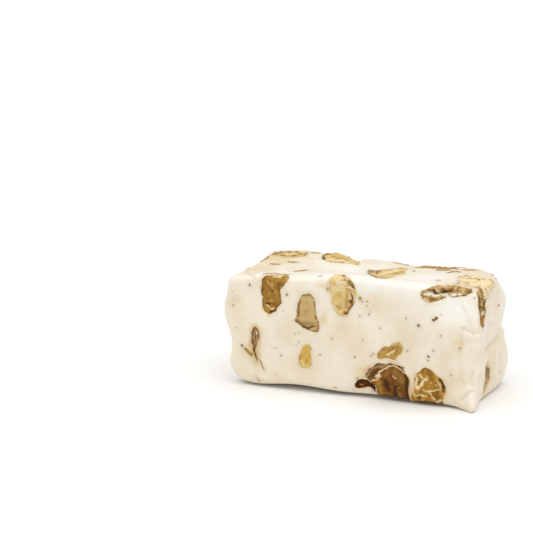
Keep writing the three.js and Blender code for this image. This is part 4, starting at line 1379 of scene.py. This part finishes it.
# each finish of the kernels: its light, body, deep, skin and cream colours, roughness, gloss, shine
kernelLooks = {
    "roasted": ((198, 160, 84), (164, 119, 40), (128, 86, 26), (104, 62, 20), (234, 212, 166),
        0.42, 0.05, 0.2),
    "ochre": ((208, 173, 96), (176, 129, 42), (141, 97, 26), (118, 74, 24), (234, 212, 166),
        0.42, 0.05, 0.17),
    "golden": ((208, 176, 112), (187, 147, 70), (156, 114, 44), (140, 98, 42), (234, 212, 166),
        0.5, 0, 0.3),
    "chip": ((221, 190, 120), (211, 174, 86), (192, 148, 56), (158, 112, 44), (234, 212, 166),
        0.5, 0.05, 0.3),
    "pale": ((236, 212, 160), (217, 188, 120), (188, 152, 86), (146, 102, 44), (234, 212, 166),
        0.5, 0, 0.35),
    "creamy": ((247, 233, 204), (237, 216, 173), (216, 186, 128), (176, 136, 72), (241, 223, 186),
        0.5, 0, 0.35),
    "glazed": ((210, 182, 128), (198, 168, 110), (168, 134, 76), (144, 102, 42), (234, 212, 166),
        0.38, 0.1, 0.35),
    "skin": ((150, 111, 56), (129, 82, 26), (92, 52, 10), (98, 58, 16), (234, 212, 166), 0.36, 0.06, 0.12),
    "burnt": ((128, 78, 26), (84, 42, 6), (58, 26, 3), (70, 34, 5), (234, 212, 166), 0.45, 0, 0.08),
    "sliver": ((180, 147, 98), (157, 120, 71), (129, 94, 47), (112, 74, 34), (234, 212, 166), 0.45, 0, 0.3),
    "crumbly": ((230, 205, 158), (206, 173, 115), (158, 116, 56), (136, 96, 44), (246, 236, 216),
        0.55, 0, 0.3),
    "brittle": ((218, 187, 128), (190, 152, 88), (142, 102, 44), (122, 82, 34), (240, 226, 198),
        0.55, 0, 0.25),
}
crumbColours = {
    "dark": (78, 42, 12), "speck": (124, 84, 24), "ochre": (168, 122, 46), "grey": (164, 133, 92),
    "tan": (180, 140, 62),
}


def kernelFinish(name):
    light, body, deep, skin, cream, roughness, gloss, shine = kernelLooks[name]
    finish = Finish(name + "Almond")
    tone = finish.layer("tone")
    mottle = finish.noise(0.45, 4, shift=4) - 0.5 + 0.12 * tone
    colour = finish.mix(finish.band(mottle, 0, 0.32), body, light)
    colour = finish.mix(finish.band(0 - mottle, 0, 0.32), colour, deep)
    # lighter and darker flesh from the strokes, with painted glints and painted shade in grooves
    colour = finish.mix(finish.band(tone, 0.15, 1) * 0.9, colour, light)
    colour = finish.mix(finish.band(0 - tone, 0.15, 1) * 0.9, colour, deep)
    flecks = finish.band(finish.noise(2.2, 3, shift=7.7), 0.60, 0.72) * 0.4
    colour = finish.mix(flecks, colour, light)
    # painted shade: darker along the cracks between the crumbs, in patches
    cracked = finish.band(finish.noise(0.5, 2, shift=6), 0.45, 0.6)
    crackShade = (1 - finish.band(finish.layer("gap"), 0, 0.10)) * cracked * 0.45
    colour = finish.mix(crackShade, colour, deep)
    # dark strokes hold painted shade in cavities as well as dark skin, cream strokes some painted glints
    drawn = {"grey": crumbColours["grey"], "ochre": crumbColours["ochre"], "skin": skin,
             "dark": crumbColours["dark"], "cream": cream}
    for kind, own in drawn.items():
        colour = finish.mix(finish.layer(kind), colour, own)
    return finish.surface({
        "Base Color": colour, "Roughness": roughness + 0.25 * (finish.noise(1.1, 3, shift=2.4) - 0.5),
        "Normal": finish.bump(finish.noise(2.6, 4), 0.06, 0.6), "IOR": 1.47,
        "Specular IOR Level": shine, "Coat Weight": gloss, "Coat Roughness": 0.25,
        "Subsurface Weight": 0.08, "Subsurface Radius": (1, 0.6, 0.3), "Subsurface Scale": 0.8 * mm})


def crumbFinish():
    finish = Finish("skinCrumb")
    tone = finish.layer("tone") + 0.5 * (finish.noise(1.4, 2, shift=3.3) - 0.5)
    colour = finish.mix(finish.band(tone, 0.05, 0.45), crumbColours["speck"], crumbColours["tan"])
    colour = finish.mix(finish.band(tone, 0.6, 0.95), colour, crumbColours["grey"])
    normal = finish.bump(finish.noise(2.6, 3), 0.05, 0.5)
    return finish.surface({"Base Color": colour, "Roughness": 0.5 + 0.2 * finish.noise(1.0, 2),
                           "Normal": normal, "Specular IOR Level": 0.25})


nougatBar.data.materials.append(nougatFinish())
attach(nougatBar, "root")
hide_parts("nougat")
finishes = {name: kernelFinish(name) for name in kernelLooks}
for node, (kernel, piece) in kernelPieces.items():
    piece.data.materials.append(finishes[kernel.look["finish"]])
    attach(piece, "root")
    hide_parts(node)
crumbMaterial = crumbFinish()
for piece in (crumbPiece, stripPiece):
    piece.data.materials.append(crumbMaterial)
    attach(piece, "root")
print("finishes made")


# Floor, light and camera

stageLook = {
    "floorSize": 14.0, "floorWhite": 0.93,
    "sky": 0.60,
    # name: where the light comes from, how wide it looks in degrees, strength, colour
    "lights": {
        "softKey": ((0.10, -0.20, 1.0), 80, 1.75, (1.0, 0.99, 0.97)),
        "frontFill": ((0.45, -1.0, 0.45), 90, 0.05, (1.0, 0.98, 0.95)),
    },
    "cameraPlace": (166.7, -505.6, 149.6), "cameraAhead": (-0.3627, 0.9092, -0.2044), "lens": 115,
}


def makeStage():
    look = stageLook
    half = look["floorSize"] / 2
    corners = np.array([(-half, -half, 0), (half, -half, 0), (half, half, 0), (-half, half, 0)]) / mm
    floor = objectFrom("floor", meshFrom("floor", corners, [(0, 1, 2, 3)]))
    finish = Finish("paleFloor")
    white = look["floorWhite"]
    soft = finish.noise(0.002, 2)
    floor.data.materials.append(finish.surface(
        {"Base Color": (white, white, white, 1.0), "Roughness": 0.7 + 0.1 * soft}))
    world = bpy.data.worlds.new("studio")
    bpy.context.scene.world = world
    world.use_nodes = True
    world.node_tree.nodes["Background"].inputs["Color"].default_value = (1, 1, 1, 1)
    world.node_tree.nodes["Background"].inputs["Strength"].default_value = look["sky"]
    for name, (source, width, strength, colour) in look["lights"].items():
        light = bpy.data.lights.new(name, "SUN")
        light.angle, light.energy, light.color = math.radians(width), strength, colour
        objectFrom(name, light).rotation_euler = Vector(source).to_track_quat("Z", "Y").to_euler()


def makeCamera():
    look = stageLook
    lensData = bpy.data.cameras.new("camera")
    lensData.lens, lensData.sensor_width = look["lens"], 36
    lensData.clip_end = 10
    camera = objectFrom("camera", lensData)
    camera.location = Vector(look["cameraPlace"]) * mm
    camera.rotation_euler = Vector(look["cameraAhead"]).to_track_quat("-Z", "Y").to_euler()
    bpy.context.scene.camera = camera


makeStage()
makeCamera()
bpy.context.scene.view_settings.view_transform = "Standard"
print("stage set")
